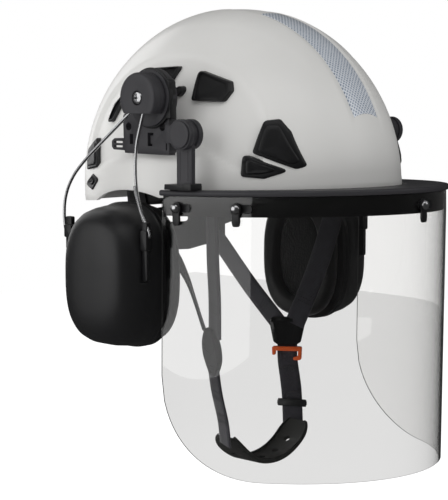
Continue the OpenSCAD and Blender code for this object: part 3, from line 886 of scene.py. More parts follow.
def build_adapter():
    """The plate clipped to the shell that carries the hub and the face shield's ears."""
    plate = slab("adapter_right", rounded([(-37, 25), (11, 25.5), (12, 52), (6, 56), (-33, 56), (-37, 50)],
                                          [2, 2, 3, 3, 3, 3]), -114.6, -107)
    lip = slab("lip", rounded([(-36, 23.4), (11.5, 24.2), (11.5, 27.5), (-36, 27)], 0.8, 3), -113.4, -107.4)
    disc = slab("disc", circle(HUB_Y, HUB_Z, 21.5, 72), -114.6, -110)
    tongue = slab("tongue", rounded([(9, 26), (24, 26.5), (26, 28.5), (26, 33), (23, 35), (9, 35.4)],
                                    [0.5, 1.5, 1.5, 1.5, 1.5, 0.5]), -113.2, -110.6)
    block = slab("block", rounded([(NECK_Y - 1, 33), (-35.5, 32), (-35.5, 46), (NECK_Y - 1, 45)], 1.2, 3),
                 -117, -107.4)
    web = slab("web", rounded([(NECK_Y - 4, 33), (NECK_Y, 33), (NECK_Y, 45), (NECK_Y - 4, 45)], 1, 3),
        -124.6, -111)
    parts = [lip, disc, tongue, block, web]
    for x0, x1 in ((-116, -112), (-125, -121)):
        parts.append(slab("ear", circle(PIVOT_Y, PIVOT_Z, 11, 48), x0, x1))
        parts.append(slab("neck", [(PIVOT_Y, 31.6), (NECK_Y, 33.4), (NECK_Y, 44.6), (PIVOT_Y, 46.4)], x0, x1))
    fuse(plate, *parts)
    holes = [slab("hole", circle(-12 + s * 18, 44, 3, 28), -130, -100) for s in (-1, 1)]
    # A C-shaped latch slot before the wire, a plain one behind it, and two slits along the rear tongue
    c_slot = [(-14.4, 29.8), (-14.4, 39.6), (-20.4, 39.6), (-20.4, 37.6), (-17.6, 37.6), (-17.6, 31.6),
              (-19.4, 31.6), (-19.4, 29.8)]
    holes.append(slab("slot", c_slot, -130, -109))
    holes.append(slab("slot", [(1.2, 31), (4.8, 31), (4.8, 38.4), (1.2, 38.4)], -130, -109))
    holes += [slab("slit", rounded([(14, z), (23.6, z), (23.6, z + 1.5), (14, z + 1.5)], 0.6, 3), -130, -100)
              for z in (28.2, 31.4)]
    holes.append(slab("pin_bore", circle(PIVOT_Y, PIVOT_Z, 3.1, 28), -130, -100))
    # A relief line between the plate and the neck
    holes.append(slab("line", [(-34.6, 27), (-33.4, 27), (-33.4, 43), (-34.6, 43)], -116, -113.4))
    cut(plate, *holes)
    bevelled(plate, 0.45, 2, 32)
    return pair(plate, "grey_black_plastic", "helmet", "adapter_plate_right", slot="black_plastic")


def build_hub_base():
    base = across_disc("hub_base_cover_right", -118.8, -116.6, HUB_Y, HUB_Z, 20.9, 0.5)
    pair(base, "grey_black_plastic", "helmet", slot="black_plastic")
    # A black ring a little wider than the base cover, set under it: painted shade for the dark groove between
    # the cover and the adapter plate. The column is joined to it under the same name.
    painted_shade_ring = across_disc("hub_gasket_right", -117.0, -114.8, HUB_Y, HUB_Z, 22.2, 0.6)
    column = slab("column", rounded([(-41.5, 50), (-36, 50), (-35, 60), (-35, 76), (-37, 80), (-40.5, 77)],
                                    [1, 1, 1, 2, 2, 2]), -117.6, -111)
    bevelled(column, 0.8, 3)
    return pair(joined("hub_gasket_right", [painted_shade_ring, column]), "black_plastic", "helmet", "hub_base_right")


def build_hub_cap():
    """The turning cap: domed face, flat foot where the wire comes out, counterbore for the screw."""
    rings = []
    for x, r in ((-119.3, 17.9), (-119.6, 18.5), (-123.4, 18.5), (-123.7, 18.2), (-124.3, 18.2), (-124.6,
            18.5),
                 (-128.9, 18.5), (-129.7, 18.2), (-130.2, 17.5), (-130.4, 16.4), (-130.5, 14), (-130.3, 10.5),
                 (-130.0, 7.4)):
        rings.append([(x, y, z) for y, z in circle(HUB_Y, HUB_Z, r, 96)])
    cap = lofted("hub_cover_right", rings, 24)
    foot = slab("foot", [(-60, 20), (20, 20), (20, HUB_Z - 11.2), (-60, HUB_Z - 11.2)], -140, -110)
    well = slab("well", circle(HUB_Y, HUB_Z, 5.4, 40), -140, -127.4)
    slot = slab("slot", rounded([(-24.4, 45), (-4.8, 45), (-4.8, 57.2), (-24.4, 57.2)], 1.2, 3), -128.9,
        -123.6)
    cut(cap, foot, well, slot)
    bevelled(cap, 0.7, 3, 45)
    return pair(cap, "grey_black_plastic", "hub_right", "hub_cap_right", slot="black_plastic")


def build_hub_screw():
    """A pan-head screw with a cross recess."""
    rings = [[(x, y, z) for y, z in circle(HUB_Y, HUB_Z, r, 48)]
             for x, r in ((-108, 3), (-127.6, 3), (-127.6, 4.8), (-129.4, 4.8), (-130.3, 4.1), (-130.8, 2.6),
                          (-130.85, 1.2))]
    screw = lofted("hub_screw_right", rings, 24)
    arms = [slab("recess", rounded([(HUB_Y - a, HUB_Z - b), (HUB_Y + a, HUB_Z - b), (HUB_Y + a, HUB_Z + b),
                                    (HUB_Y - a, HUB_Z + b)], 0.35, 2), -132, -128.6)
            for a, b in ((3.1, 0.75), (0.75, 3.1))]
    cut(screw, *arms)
    smooth(screw, 24)
    return pair(screw, "steel", "helmet")


def build_hinge_pin():
    rings = [[(x, y, z) for y, z in circle(PIVOT_Y, PIVOT_Z, r, 40)]
             for x, r in ((-110.6, 4.4), (-111, 5), (-111.9, 5), (-111.9, 3), (-124.9, 3), (-124.9, 1))]
    pin = lofted("hinge_pin_right", rings, 24)
    cover = across_disc("hinge_cover_right", -126.6, -125.02, PIVOT_Y, PIVOT_Z, 9.8, 0.5, 0.15)
    pair(cover, "grey_black_plastic", "helmet", slot="black_plastic")
    return pair(pin, "steel", "helmet")


def build_arm():
    """The face shield's arm: a round boss, a ribbed bar and a foot that the bracket holds."""
    y0, y1 = PIVOT_Y - 7.4, PIVOT_Y + 7.4
    boss = slab("shield_arm_right", circle(PIVOT_Y, PIVOT_Z, 10, 56), -120.4, -116.6)
    bar = slab("bar", rounded([(y0, ARM_FOOT), (y1, ARM_FOOT), (y1, PIVOT_Z), (y0, PIVOT_Z)], [1, 1, 1, 1]),
        -120.4, -116.6)
    fuse(boss, bar)
    cuts = [slab("bore", circle(PIVOT_Y, PIVOT_Z, 3.06, 28), -130, -100)]
    for y in (y0 + 3.2, y1 - 3.8):
        cuts.append(slab("line", [(y, 6), (y + 0.6, 6), (y + 0.6, PIVOT_Z - 12), (y, PIVOT_Z - 12)], -125,
            -120.2))
    cut(boss, *cuts)
    bevelled(boss, 0.4, 2, 32)
    return pair(boss, "grey_black_plastic", "visor", "visor_arm_right", slot="black_plastic")


def build_bracket():
    """Stepped block that grips the arm on the ring."""
    z = BRACKET_Z
    base = slab("shield_bracket_right", rounded([(-66, z), (-39, z), (-39.4, z + 4), (-66, z + 4)],
                                         [0.6, 0.6, 0.8, 0.8]), -122, -110.5)
    step = slab("step", rounded([(-66.2, z + 0.4), (-58, z + 0.4), (-58, z + 5), (-66.2, z + 5)], 0.5, 3),
                -122.2, -110.9)
    cut(base, box_piece("socket", (-120.6, -65.1, ARM_FOOT - 0.1), (-116.4, -50.9, 8)))
    cut(step, box_piece("socket", (-120.6, -65.1, ARM_FOOT - 0.1), (-116.4, -50.9, 8)))
    bevelled(base, 0.4, 2, 32)
    bevelled(step, 0.3, 2, 32)
    return pair(joined("shield_bracket_right", [base, step]), "black_plastic", "visor")


build_adapter()
blades = joined("adapter_blade_right", [
    bevelled(box_piece("blade", (-110, -25.8, 27.2), (-98, -8.2, 30.8)), 0.4),
    bevelled(slab("barb", [(-25.8, 30.6), (-8.2, 30.6), (-8.2, 33), (-25.8, 33)], -100, -98), 0.4)])
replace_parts(pair(blades, "black_plastic", "helmet")[0], "adapter_blades")
build_hub_base()
build_hub_cap()
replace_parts(build_hub_screw()[0], "hub_screws")
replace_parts(build_hinge_pin()[0], "visor_pins")
build_arm()
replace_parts(build_bracket()[0], "visor_brackets")


# ---------------------------------------------------------------- face shield
def lens_point(turn, z, out=0.0):
    """A point `out` from the clear sheet's outside at a turn from straight ahead, + to the left."""
    a, b = LENS_A + out, LENS_B + out
    return Vector((a * math.sin(turn), LENS_Y - b * math.cos(turn), z))


def swept_ring(name, outline, low, high, steps=160):
    """A half ring round the front: outline is (out, z) pairs; ends are flat at the ellipse's middle."""
    rings = []
    for i in range(steps + 1):
        turn = low + (high - low) * i / steps
        rings.append([lens_point(turn, z, out) for out, z in outline])
    return lofted(name, rings, 35)


def rim_gap(turn):
    """How far the shield's ring reaches inwards to the shell at a turn, from the sheet's outside."""
    a, b = SHELL.x + 3.3, SHELL.y + 3.3
    sine, cosine = math.sin(turn), math.cos(turn)
    # Distance along the line from the sheet's centre to the shell's oval
    qa = (sine / a) ** 2 + (cosine / b) ** 2
    qb = 2 * (LENS_Y * -cosine) / b ** 2
    qc = (LENS_Y / b) ** 2 - 1
    reach = (-qb + math.sqrt(qb * qb - 4 * qa * qc)) / (2 * qa)
    here = lens_point(turn, 0)
    return reach - math.hypot(here.x, here.y - LENS_Y)


def build_ring():
    """The moulded ring: flange to the shell, a fat rounded lip outside and a wall behind the sheet."""
    quarter = math.pi / 2
    steps = 180
    rings = []
    top, foot = RING_TOP, RING_FOOT
    lip = [(2.3, foot + 1.2), (2.4, top - 1.6), (2.1, top - 0.6), (1.3, top), (0.3, top + 0.2), (-0.8, top),
           (-1.6, top - 0.3), (-2.4, top - 0.5)]
    under = [(-2.4, foot + 0.7), (-1.2, foot + 0.1), (0.2, foot), (1.6, foot + 0.3)]
    for i in range(steps + 1):
        turn = -quarter + math.pi * i / steps
        gap = rim_gap(turn)
        rows = [lens_point(turn, z, out) for out, z in lip]
        across = Vector((math.sin(turn), -math.cos(turn), 0))
        here = lens_point(turn, 0)
        edge = here + across * gap
        rows += [Vector((edge.x, edge.y, z)) for z in (top - 0.4, foot + 1.2)]
        rows += [lens_point(turn, z, out) for out, z in under]
        rings.append(rows)
    ring = lofted("shield_ring", rings, 40)
    return dress(lifted(ring), "grey_black_plastic", "visor", "visor_frame", slot="black_plastic")


def build_band():
    wall = [(-1.75, RING_FOOT + 0.1), (-1.75, -19.2), (-2.3, -20), (-4.2, -20), (-4.7, -19.4), (-4.7,
        RING_FOOT + 0.1)]
    band = swept_ring("shield_band", wall, -math.pi / 2, math.pi / 2)
    return dress(lifted(band), "black_plastic", "visor", "visor_band")


def build_seal():
    """Soft lip between the ring and the shell."""
    rings = []
    for i in range(121):
        turn = -math.pi * i / 120
        x, y = math.cos(turn), math.sin(turn)
        if LENS_Y / (SHELL.y + 3) < y:
            continue
        rings.append([(x * (SHELL.x + g), y * (SHELL.y + g), z)
                      for g, z in ((3.1, -1.8), (2.2, -1.5), (1.85, -2.3), (1.8, -3.4), (2.3, -4.3), (3.1,
                              -4.1))])
    return dress(lifted(lofted("shield_seal", rings, 40)), "cushion_skin", "visor", "visor_seal",
                 slot="black_plastic")


def lens_foot(y):
    """Height of the clear sheet's lower edge at a depth y: rounded up behind."""
    foot = LENS_TOP - LENS_H
    start = LENS_Y - 82
    if y <= start:
        return foot
    share = min((y - start) / 82, 1)
    return foot + 72 * (1 - math.sqrt(1 - share * share))


def build_sheet():
    """The clear sheet with rounded lower corners, and a slot at each stud."""
    quarter = math.pi / 2
    columns, rows = 168, 40
    slots = [math.radians(t) for t in STUD_TURNS]
    inner_out = []
    for out in (0.0, -LENS_T):
        layer = []
        for i in range(columns + 1):
            turn = -quarter + math.pi * i / columns
            y = LENS_Y - LENS_B * math.cos(turn)
            foot = lens_foot(y)
            edge = min(i, columns - i) / 3
            top = LENS_TOP - max(0, 1 - edge) ** 2 * 4
            layer.append([lens_point(turn, top + (foot - top) * k / rows, out) for k in range(rows + 1)])
        inner_out.append(layer)
    points, faces = [], []
    for layer in inner_out:
        for column in layer:
            points += column
    tall, layer_size = rows + 1, (columns + 1) * (rows + 1)
    for i in range(columns):
        for k in range(rows):
            a = i * tall + k
            faces.append((a, a + 1, a + tall + 1, a + tall))
            faces.append((layer_size + a, layer_size + a + tall, layer_size + a + tall + 1,
                layer_size + a + 1))
    edge = [i * tall for i in range(columns + 1)] + [columns * tall + k for k in range(1, tall)] \
        + [i * tall + rows for i in range(columns - 1, -1, -1)] + [k for k in range(rows - 1, 0, -1)]
    for a, b in zip(edge, edge[1:] + edge[:1]):
        faces.append((a, b, layer_size + b, layer_size + a))
    sheet = mesh_object("clear_sheet", points, faces, 40)
    cutters = []
    for turn in slots:
        cutters.append(on_sheet_level(slab("slot", slot_outline(turn, 0.0), -6, 6), math.degrees(turn)))
    cut(sheet, *cutters)
    smooth(sheet, 40)
    sheet.data.materials.append(FINISH["clear_sheet"])
    sheet.data.materials.append(FINISH["sheet_edge"])
    # Faces along the sheet's edge take the dark edge finish: painted shade.
    for face in sheet.data.polygons:
        spot = face.center / MM
        across = math.hypot(spot.x / LENS_A, (spot.y - LENS_Y) / LENS_B)
        depth = (1 / across - 1) * math.hypot(spot.x, spot.y - LENS_Y)
        if LENS_T * 0.15 < depth < LENS_T * 0.85:
            face.material_index = 1
    lean(sheet)
    return dress(lifted(sheet), "clear_sheet", "visor", "visor_lens")


def lean(sheet):
    """The free lower part of the sheet swings back a little, being held only along its top."""
    for vertex in sheet.data.vertices:
        depth = max(0.0, (STUD_Z - 6) * MM - vertex.co.z)
        vertex.co.y += SHEET_LEAN * depth


def slot_outline(turn, less):
    """A stud's long slot in the sheet, running from the stud towards the front."""
    ahead = -1 if turn > 0.01 else 1
    low, high = sorted((-4.2 * ahead, 12 * ahead))
    return rounded([(low + less, less - 3.2), (high - less, less - 3.2), (high - less, 3.2 - less),
                    (low + less, 3.2 - less)], 3 - less, 5)


def on_sheet_level(piece, turn_degrees):
    """Moves a piece drawn with +X outwards to a stud's place on the level sheet."""
    turn = math.radians(turn_degrees)
    facing = math.degrees(math.atan2(-math.cos(turn) / LENS_B, math.sin(turn) / LENS_A))
    return placed(piece, lens_point(turn, STUD_Z), (0, 0, facing))


def on_sheet(piece, turn_degrees):
    return lifted(on_sheet_level(piece, turn_degrees))


def build_studs_and_buttons():
    studs, backings = [], []
    for index, turn in enumerate(STUD_TURNS):
        profile = ((-4.6, 2.1), (-4.4, 2.4), (2.4, 2.4), (2.4, 3.4), (2.8, 3.6), (3.5, 3.4), (4.2, 2.9),
                   (4.8, 2.0), (5.1, 1.1), (5.2, 0.4))
        stud = lofted("stud", [[(x, y, z) for y, z in circle(0, 0, r, 36)] for x, r in profile], 28)
        studs.append(on_sheet(stud, turn))
        outline = rounded([(-2.4, -12.6), (2.4, -12.6), (3.2, -9), (3.0, -4), (4.4, 0), (3.1, 3.3), (0, 4.6),
                           (-3.1, 3.3), (-4.4, 0), (-3.0, -4), (-3.2, -9)],
                          [1.6, 1.6, 1.5, 1.0, 1.6, 1.4, 1.4, 1.4, 1.6, 1.0, 1.5], 5)
        backing = on_sheet(slab("slot_backing", slot_outline(math.radians(turn), 0.3), -1.72, 0.1), turn)
        cut(backing, on_sheet(slab("bore", circle(0, 0, 2.5, 28), -3, 2), turn))
        backings.append(backing)
        button = slab("shield_button_%d" % (index + 1), outline, 0.3, 2.2)
        bore = slab("bore", circle(0, 0, 2.45, 28), -1, 4)
        cut(button, bore)
        bevelled(button, 0.3, 2, 40)
        dress(on_sheet(button, turn), "black_plastic", "button_%d" % (index + 1),
            "lens_button_%d" % (index + 1))
    dress(joined("slot_backings", backings), "black_plastic", "visor")
    return dress(joined("shield_studs", studs), "steel", "visor", "lens_studs")


build_ring()
build_band()
build_seal()
build_sheet()
build_studs_and_buttons()


# ---------------------------------------------------------------- ear defenders
def super_ring(x, half_w, half_h, power, steps=96, cy=CUP_Y, cz=CUP_Z):
    """A rounded-rectangle section across X; sizes are given for a cup 80 wide and 106 tall."""
    half_w, half_h = half_w * CUP_HALF_W / 40, half_h * CUP_HALF_H / 53
    ring = []
    for i in range(steps):
        a = math.tau * i / steps
        c, s = math.cos(a), math.sin(a)
        ring.append((x, cy + half_w * math.copysign(abs(c) ** (2 / power), c),
                     cz + half_h * math.copysign(abs(s) ** (2 / power), s)))
    return ring


def build_cup():
    """The moulded cup: skirt, long curved wall and a softly crowned face."""
    profile = [(-104, 37.6, 50.6), (-104, 39.6, 52.6), (-104.6, 40, 53), (-107.6, 40, 53), (-108.2, 39.4,
        52.4),
               (-108.8, 38.9, 51.9), (-116, 38.3, 51.2), (-124, 37.4, 50.1), (-131, 35.8, 48.2),
               (-136, 33.2, 45.3), (-139.4, 30.0, 41.9), (-141.6, 26.2, 37.8), (-143.0, 21.4, 32.2),
               (-143.7, 15.2, 24.4), (-143.95, 8.6, 14.6), (-144, 3.0, 5.4)]
    rings = [super_ring(x, w, h, 2.75) for x, w, h in profile]
    hollow = [(-104.2, 34, 47), (-118, 33.6, 46.4), (-132, 30, 42), (-139, 22, 33), (-140.5, 10, 17)]
    rings = [super_ring(x, w, h, 2.75) for x, w, h in reversed(hollow)] + rings
    deep = (CUP_END - CUP_X) / 40
    rings = [[((x + CUP_X) * deep - CUP_X, y, z) for x, y, z in ring] for ring in rings]
    cup = lofted("ear_cup_shell_right", rings, 38)
    # Long guide slots in the front and rear walls where the wire ends ride
    recesses = []
    for y0, y1, foot in ((-36, -22.9, -70), (53.0, 68, -60)):
        recesses.append(slab("recess", rounded([(y0, foot), (y1, foot), (y1, -26), (y0, -26)], 1.5, 4),
                             -131.6, -124.4))
    cut(cup, *recesses)
    bevelled(cup, 0.5, 2, 48)
    return pair(cup, "cup_plastic", "muff_right", "ear_cup_right")


def build_cup_plate():
    rings = [super_ring(x, w, h, 2.75) for x, w, h in
             ((-101, 26, 39), (-100, 26, 39), (-100, 39, 52), (-100.6, 39.9, 52.9), (-103.4, 39.9, 52.9),
              (-104, 39.3, 52.3), (-104, 26, 39), (-103, 26, 39))]
    plate = lofted("cup_backplate_right", rings[1:-1], 40, around=True)
    return pair(plate, "black_plastic", "muff_right", "cup_plate_right")


def build_clips():
    """The black clips that hold the wire's ends to the cup walls."""
    parts = []
    for low, high, foot, end in ((-29.6, -23.2, -46, -68), (53.3, 61.4, -41, -50)):
        parts.append(slab("clip", rounded([(low, foot), (high, foot), (high, -31), (low, -31)], 1.6, 4),
                          -131.2, -124.8))
        parts.append(slab("tab", rounded([(low + 0.9, end), (high - 0.6, end), (high - 0.6, -25), (low + 0.9,
            -25)],
                                         1.2, 4), -129.9, -126.1))
    whole = parts[0]
    bevelled(whole, 0.5, 2)
    for part in parts[1:]:
        bevelled(part, 0.5, 2)
    return pair(joined("wire_clips_right", parts), "black_plastic", "muff_right", "cup_pivots_right")


FRONT_LEG = [(-126, -26, 55.5), (-126, -22.5, 55.9), (-127, -20.6, 47), (-128, -17, 33), (-128, -15.5, 20),
             (-128, -15.5, 8), (-128, -17, -6), (-128, -22, -20), (-128, -28.5, -30), (-128, -31, -36),
             (-128, -25, -36)]
REAR_LEG = [(-126, -7, 55.5), (-126, -10.5, 55.9), (-127, -3, 50), (-128, 24, 30), (-128, 40, 18.5),
            (-128, 52, 8), (-128, 60, -3), (-128, 64, -14), (-128, 64.5, -26), (-128, 63, -36),
            (-128, 57, -36)]


def build_wire():
    """Sprung wire from the hub's crossbar down both sides of the cup, with a coiled sleeve in front."""
    front = bent_wire(FRONT_LEG, 5)
    rear = bent_wire(REAR_LEG, 7)
    legs = [tube("wire", front, 1.2, 14), tube("wire", rear, 1.2, 14),
            tube("wire", [(-126, -25.9, 55.5), (-126, -7.1, 55.5)], 1.2, 14)]
    sleeve = [(-128, -15.6, 1), (-128, -16.2, -4), (-128, -18.4, -10.5), (-128, -22, -20), (-128, -27.0, -29)]
    path = curve_through(sleeve, 60)
    turns = 22
    coil = []
    for i, point in enumerate(path):
        a = math.tau * turns * i / (len(path) - 1)
        way = heading(path, i)
        u, v = frame_across(way)
        coil.append(point + (u * math.cos(a) + v * math.sin(a)) * 1.45)
    legs.append(tube("coil", coil, 0.42, 6))
    return pair(joined("wire_right", legs), "steel", "wires_right", "wire_arm_right")


def inflated(piece, cap, pressure=4.0, voxel=4.5, frames=20):
    """Lets a pad swell as filled cloth, no point moving further than `cap` millimetres."""
    remesh = piece.modifiers.new("even", "REMESH")
    remesh.mode = "VOXEL"
    remesh.voxel_size = voxel * MM
    applied(piece)
    rest = [v.co.copy() for v in piece.data.vertices]
    cloth = piece.modifiers.new("swell", "CLOTH")
    cloth.settings.use_pressure = True
    cloth.settings.uniform_pressure_force = pressure
    cloth.settings.effector_weights.gravity = 0
    cloth.settings.quality = 6
    for number in range(1, frames + 1):
        bpy.context.scene.frame_set(number)
    applied(piece)
    bpy.context.scene.frame_set(1)
    for vertex, start in zip(piece.data.vertices, rest):
        move = vertex.co - start
        if move.length > cap * MM:
            vertex.co = start + move.normalized() * cap * MM
    step = piece.modifiers.new("smooth", "SUBSURF")
    step.levels = step.render_levels = 1
    applied(piece)
    smooth(piece, 180)
    return piece


def pad_ring(name, x0, x1, outer, inner, power=2.6):
    """A closed ring pad: a fat round section between an outer and an inner outline."""
    rings = []
    steps = 18
    (w1, h1), (w0, h0) = outer, inner
    mid_x, half_x = (x0 + x1) / 2, (x1 - x0) / 2
    for i in range(steps):
        a = math.tau * i / steps
        share = 0.5 + 0.5 * math.copysign(abs(math.cos(a)) ** 0.75, math.cos(a))
        x = mid_x + half_x * math.copysign(abs(math.sin(a)) ** 0.75, math.sin(a))
        rings.append(super_ring(x, w0 + (w1 - w0) * share, h0 + (h1 - h0) * share, power, 72))
    return lofted(name, rings, 180, around=True)


def build_cushion():
    """Soft sealing ring, swollen by its filling."""
    cushion = pad_ring("ear_pad_right", -99.6, -87.4, (37.8, 50.8), (21.5, 34.5))
    inflated(cushion, 1.2, 3.0, 2.2, 12)
    for vertex in cushion.data.vertices:
        vertex.co.x = min(max(vertex.co.x, -99.9 * MM), -86.0 * MM)
    smooth(cushion, 180)
    right, left = pair(cushion, "cushion_skin", "muff_right", "ear_cushion_right")


def build_foam():
    """Damping foam inside the cup, its face showing through the cushion's opening."""
    profile = [(-92.5, 5, 9), (-93, 16, 28), (-94.5, 22, 35), (-97, 24.5, 37.5), (-118, 25, 38), (-118, 5, 9)]
    foam = lofted("cup_lining_right", [super_ring(x, w, h, 2.5, 64) for x, w, h in profile], 50)
    for vertex in foam.data.vertices:
        ripple = math.sin(vertex.co.y / MM * 0.55) * math.sin(vertex.co.z / MM * 0.47)
        if vertex.co.x > -0.096:
            vertex.co.x += 0.4 * MM * ripple
    smooth(foam, 50)
    right, left = pair(foam, "foam", "muff_right", "cup_foam_right")


build_cup()
build_cup_plate()
build_clips()
build_wire()
build_cushion()
build_foam()


# ---------------------------------------------------------------- suspension
def tilted_band(piece):
    piece.data.transform(Matrix.Rotation(math.radians(-6), 4, "X"))
    return piece


def oval_ring(name, rows, low=0.0, high=math.tau, steps=160, sharp=40):
    """A band round the head: rows are (out, z) from the headband's inner oval."""
    full = abs(high - low) > math.tau - 0.01
    rings = []
    for i in range(steps if full else steps + 1):
        a = low + (high - low) * i / steps
        rings.append([((BAND_A + out) * math.cos(a), (BAND_B + out) * math.sin(a), z) for out, z in rows])
    return lofted(name, rings, sharp, around=full)


def build_headband():
    """The band with a thickened lower edge, and a row of adjusting holes at each side."""
    rows = [(0.1, -13.2), (0.5, -14), (1.6, -14), (2.2, -13), (2.0, -10.5), (1.9, 10.5), (2.2, 13), (1.6, 14),
            (0.5, 14), (0.1, 13.2)]
    band = oval_ring("headband_moulding", rows)
    holes = []
    for side in (RIGHT, LEFT):
        for y in (-30, -18, -6, 6, 18, 30):
            holes.append(slab("hole", rounded([(y - 3.2, -4), (y + 3.2, -4), (y + 3.2, 4), (y - 3.2, 4)],
                1.5, 4),
                              side * 70 - 20, side * 70 + 20))
    cut(band, *holes)
    smooth(band, 40)
    return dress(tilted_band(band), "black_plastic", "helmet", "headband")


def build_sweatband():
    """Padded brow band, swollen by its filling and pinched along its two stitched edges."""
    rows = [(-0.8, -14.5), (-2.0, -15.6), (-3.2, -14.6), (-3.6, -8), (-3.6, 8), (-3.2, 14.6), (-2.0, 15.6),
            (-0.8, 14.5), (-0.6, 5), (-0.6, -5)]
    pad = oval_ring("brow_pad", rows, math.radians(222), math.radians(318), 72)
    inflated(pad, 1.0, 2.0, 1.6, 8)
    for vertex in pad.data.vertices:
        spot = vertex.co / MM
        out = math.hypot(spot.x / BAND_A, spot.y / BAND_B)
        if out > 0.994:
            vertex.co.x *= 0.994 / out
            vertex.co.y *= 0.994 / out
    smooth(pad, 180)
    dress(tilted_band(pad), "sweatband_pad", "helmet", "sweatband")


def build_nape():
    """The cradle that dips behind the head, with arms up to the band and a long window."""
    steps = 96
    rings = []
    for i in range(steps + 1):
        a = math.radians(44) + math.radians(92) * i / steps
        share = abs(i / steps * 2 - 1)
        top = -25 - 3 * (1 - share) ** 2
        foot = -64 + 8 * max(0, share - 0.55) / 0.45
        ring = []
        for out, z in ((0.4, foot + 1), (0.9, foot), (2.4, foot), (2.9, foot + 1), (2.6, (foot + top) / 2),
                       (2.9, top - 1), (2.4, top), (0.9, top), (0.4, top - 1)):
            ring.append(((BAND_A + out) * math.cos(a), (BAND_B + out) * math.sin(a), z))
        rings.append(ring)
    cradle = lofted("nape_cradle_moulding", rings, 40)
    opening = rounded([(-34, -40), (34, -40), (34, -30), (-34, -30)], 3, 5)
    cutter = lofted("window", [[(x, y, z) for x, z in opening] for y in (50, 130)])
    bore = rod("bore", (0, 80, KNOB_Z), (0, 130, KNOB_Z), 6)
    cut(cradle, cutter, bore)
    bevelled(cradle, 0.5, 2, 45)
    parts = [cradle]
    # Arms that rise from the cradle's ends to the headband
    for side in (RIGHT, LEFT):
        start, end = Vector((side * 58.5, 68, -34)), Vector((side * 76.5, 26, -14))
        path = []
        for k in range(13):
            t = k / 12
            angle = math.radians(47.5 - 33 * t)
            path.append(Vector((side * (BAND_A + 2.4) * math.cos(angle), (BAND_B + 2.4) * math.sin(angle),
                                start.z + (end.z - start.z) * t)))
        arm = ribbon("arm", path, (0, 0, 1), 20, 1.8, 2)
        for layer in list(arm.data.uv_layers):
            arm.data.uv_layers.remove(layer)
        parts.append(arm)
    return dress(joined("nape_cradle_moulding", parts), "black_plastic", "helmet", "nape_cradle")


def across_y(name, profile, steps=48):
    """A turned piece about the adjuster's axis from (y, radius) pairs."""
    rings = []
    for y, r in profile:
        rings.append([(r * math.cos(i * math.tau / steps), y, KNOB_Z + r * math.sin(i * math.tau / steps))
                      for i in range(steps)])
    return lofted(name, rings, 30)


def build_ratchet():
    low, high = 101.5, 111
    outline = rounded([(-28, -60), (-20, -63), (20, -63), (28, -60), (28, -43), (20, -40), (-20, -40), (-28,
        -43)],
                      [3, 4, 4, 3, 3, 4, 4, 3], 5)
    housing = lofted("ratchet_case", [[(x, y, z) for x, z in outline] for y in (low, high - 1.4)]
                     + [[(x * 0.97, high, KNOB_Z - 2.5 + (z - KNOB_Z + 2.5) * 0.92) for x, z in outline]])
    shaft = across_y("shaft", ((101, 5), (123.4, 5), (124, 4.4), (124, 1)))
    ring = across_y("ring", ((109.8, 14), (111.2, 14), (111.2, 11.5), (111.0, 6)))
    cut(housing, box_piece("hollow", (-18, 60, -80), (18, 101.6, -20)))
    bevelled(housing, 0.6, 3)
    dress(joined("ratchet_case", [housing, shaft, ring]), "black_plastic", "helmet", "ratchet_housing")
    lobes, steps = 18, 144
    rings = []
    for y, r, depth in ((111.6, 14.6, 0), (111.6, 15.4, 0.2), (112.6, 16, 0.5), (114.5, 16, 1.5), (123.5,
            15.7, 1.5),
                        (125.3, 15.0, 1.1), (126, 13.6, 0.3), (126, 11, 0), (125.2, 9.5, 0), (125.0, 5.4, 0),
                        (124.3, 5.1, 0), (111.8, 5.1, 0), (111.6, 6, 0)):
        ring = []
        for i in range(steps):
            a = math.tau * i / steps
            dip = depth * max(0, math.cos(a * lobes)) ** 1.5
            ring.append(((r - dip) * math.cos(a), y, KNOB_Z + (r - dip) * math.sin(a)))
        rings.append(ring)
    knob = lofted("fit_wheel", rings, 35, around=True)
    dress(knob, "black_plastic", "fit_knob", "ratchet_knob")


def crown_path(half_w, top, along_y):
    """Points of a half hoop over the head, from clip to clip."""
    low = math.asin(14 / top)
    path = []
    for k in range(29):
        a = low + (math.pi - 2 * low) * k / 28
        across, z = half_w * math.cos(a), top * math.sin(a)
        path.append((0, -across, z) if along_y else (across, 0, z))
    return path


def build_crown():
    long_strap = ribbon("crown_webbing_long", crown_path(105.4, 109.8, True), (1, 0, 0), 20, 1.2, 2)
    dress(long_strap, "webbing", "helmet", "crown_strap_long")
    cross = ribbon("crown_webbing_cross", crown_path(85.4, 112.4, False), (0, 1, 0), 20, 1.2, 2)
    dress(cross, "webbing", "helmet", "crown_strap_cross")
    clips = []
    for side in (RIGHT, LEFT):
        block = box_piece("clip", (min(side * 103.5, side * 81), -9, 3), (max(side * 103.5, side * 81), 9,
            14))
        clips.append(bevelled(block, 1.4, 3))
    clips.append(bevelled(box_piece("clip", (-9, -134, 3), (9, -101, 14)), 1.4, 3))
    clips.append(bevelled(box_piece("clip", (-9, 104, -2), (9, 134, 14)), 1.4, 3))
    dress(joined("suspension_clip_set", clips), "black_plastic", "helmet", "suspension_clips")


build_headband()
build_sweatband()
build_nape()
build_ratchet()
build_crown()


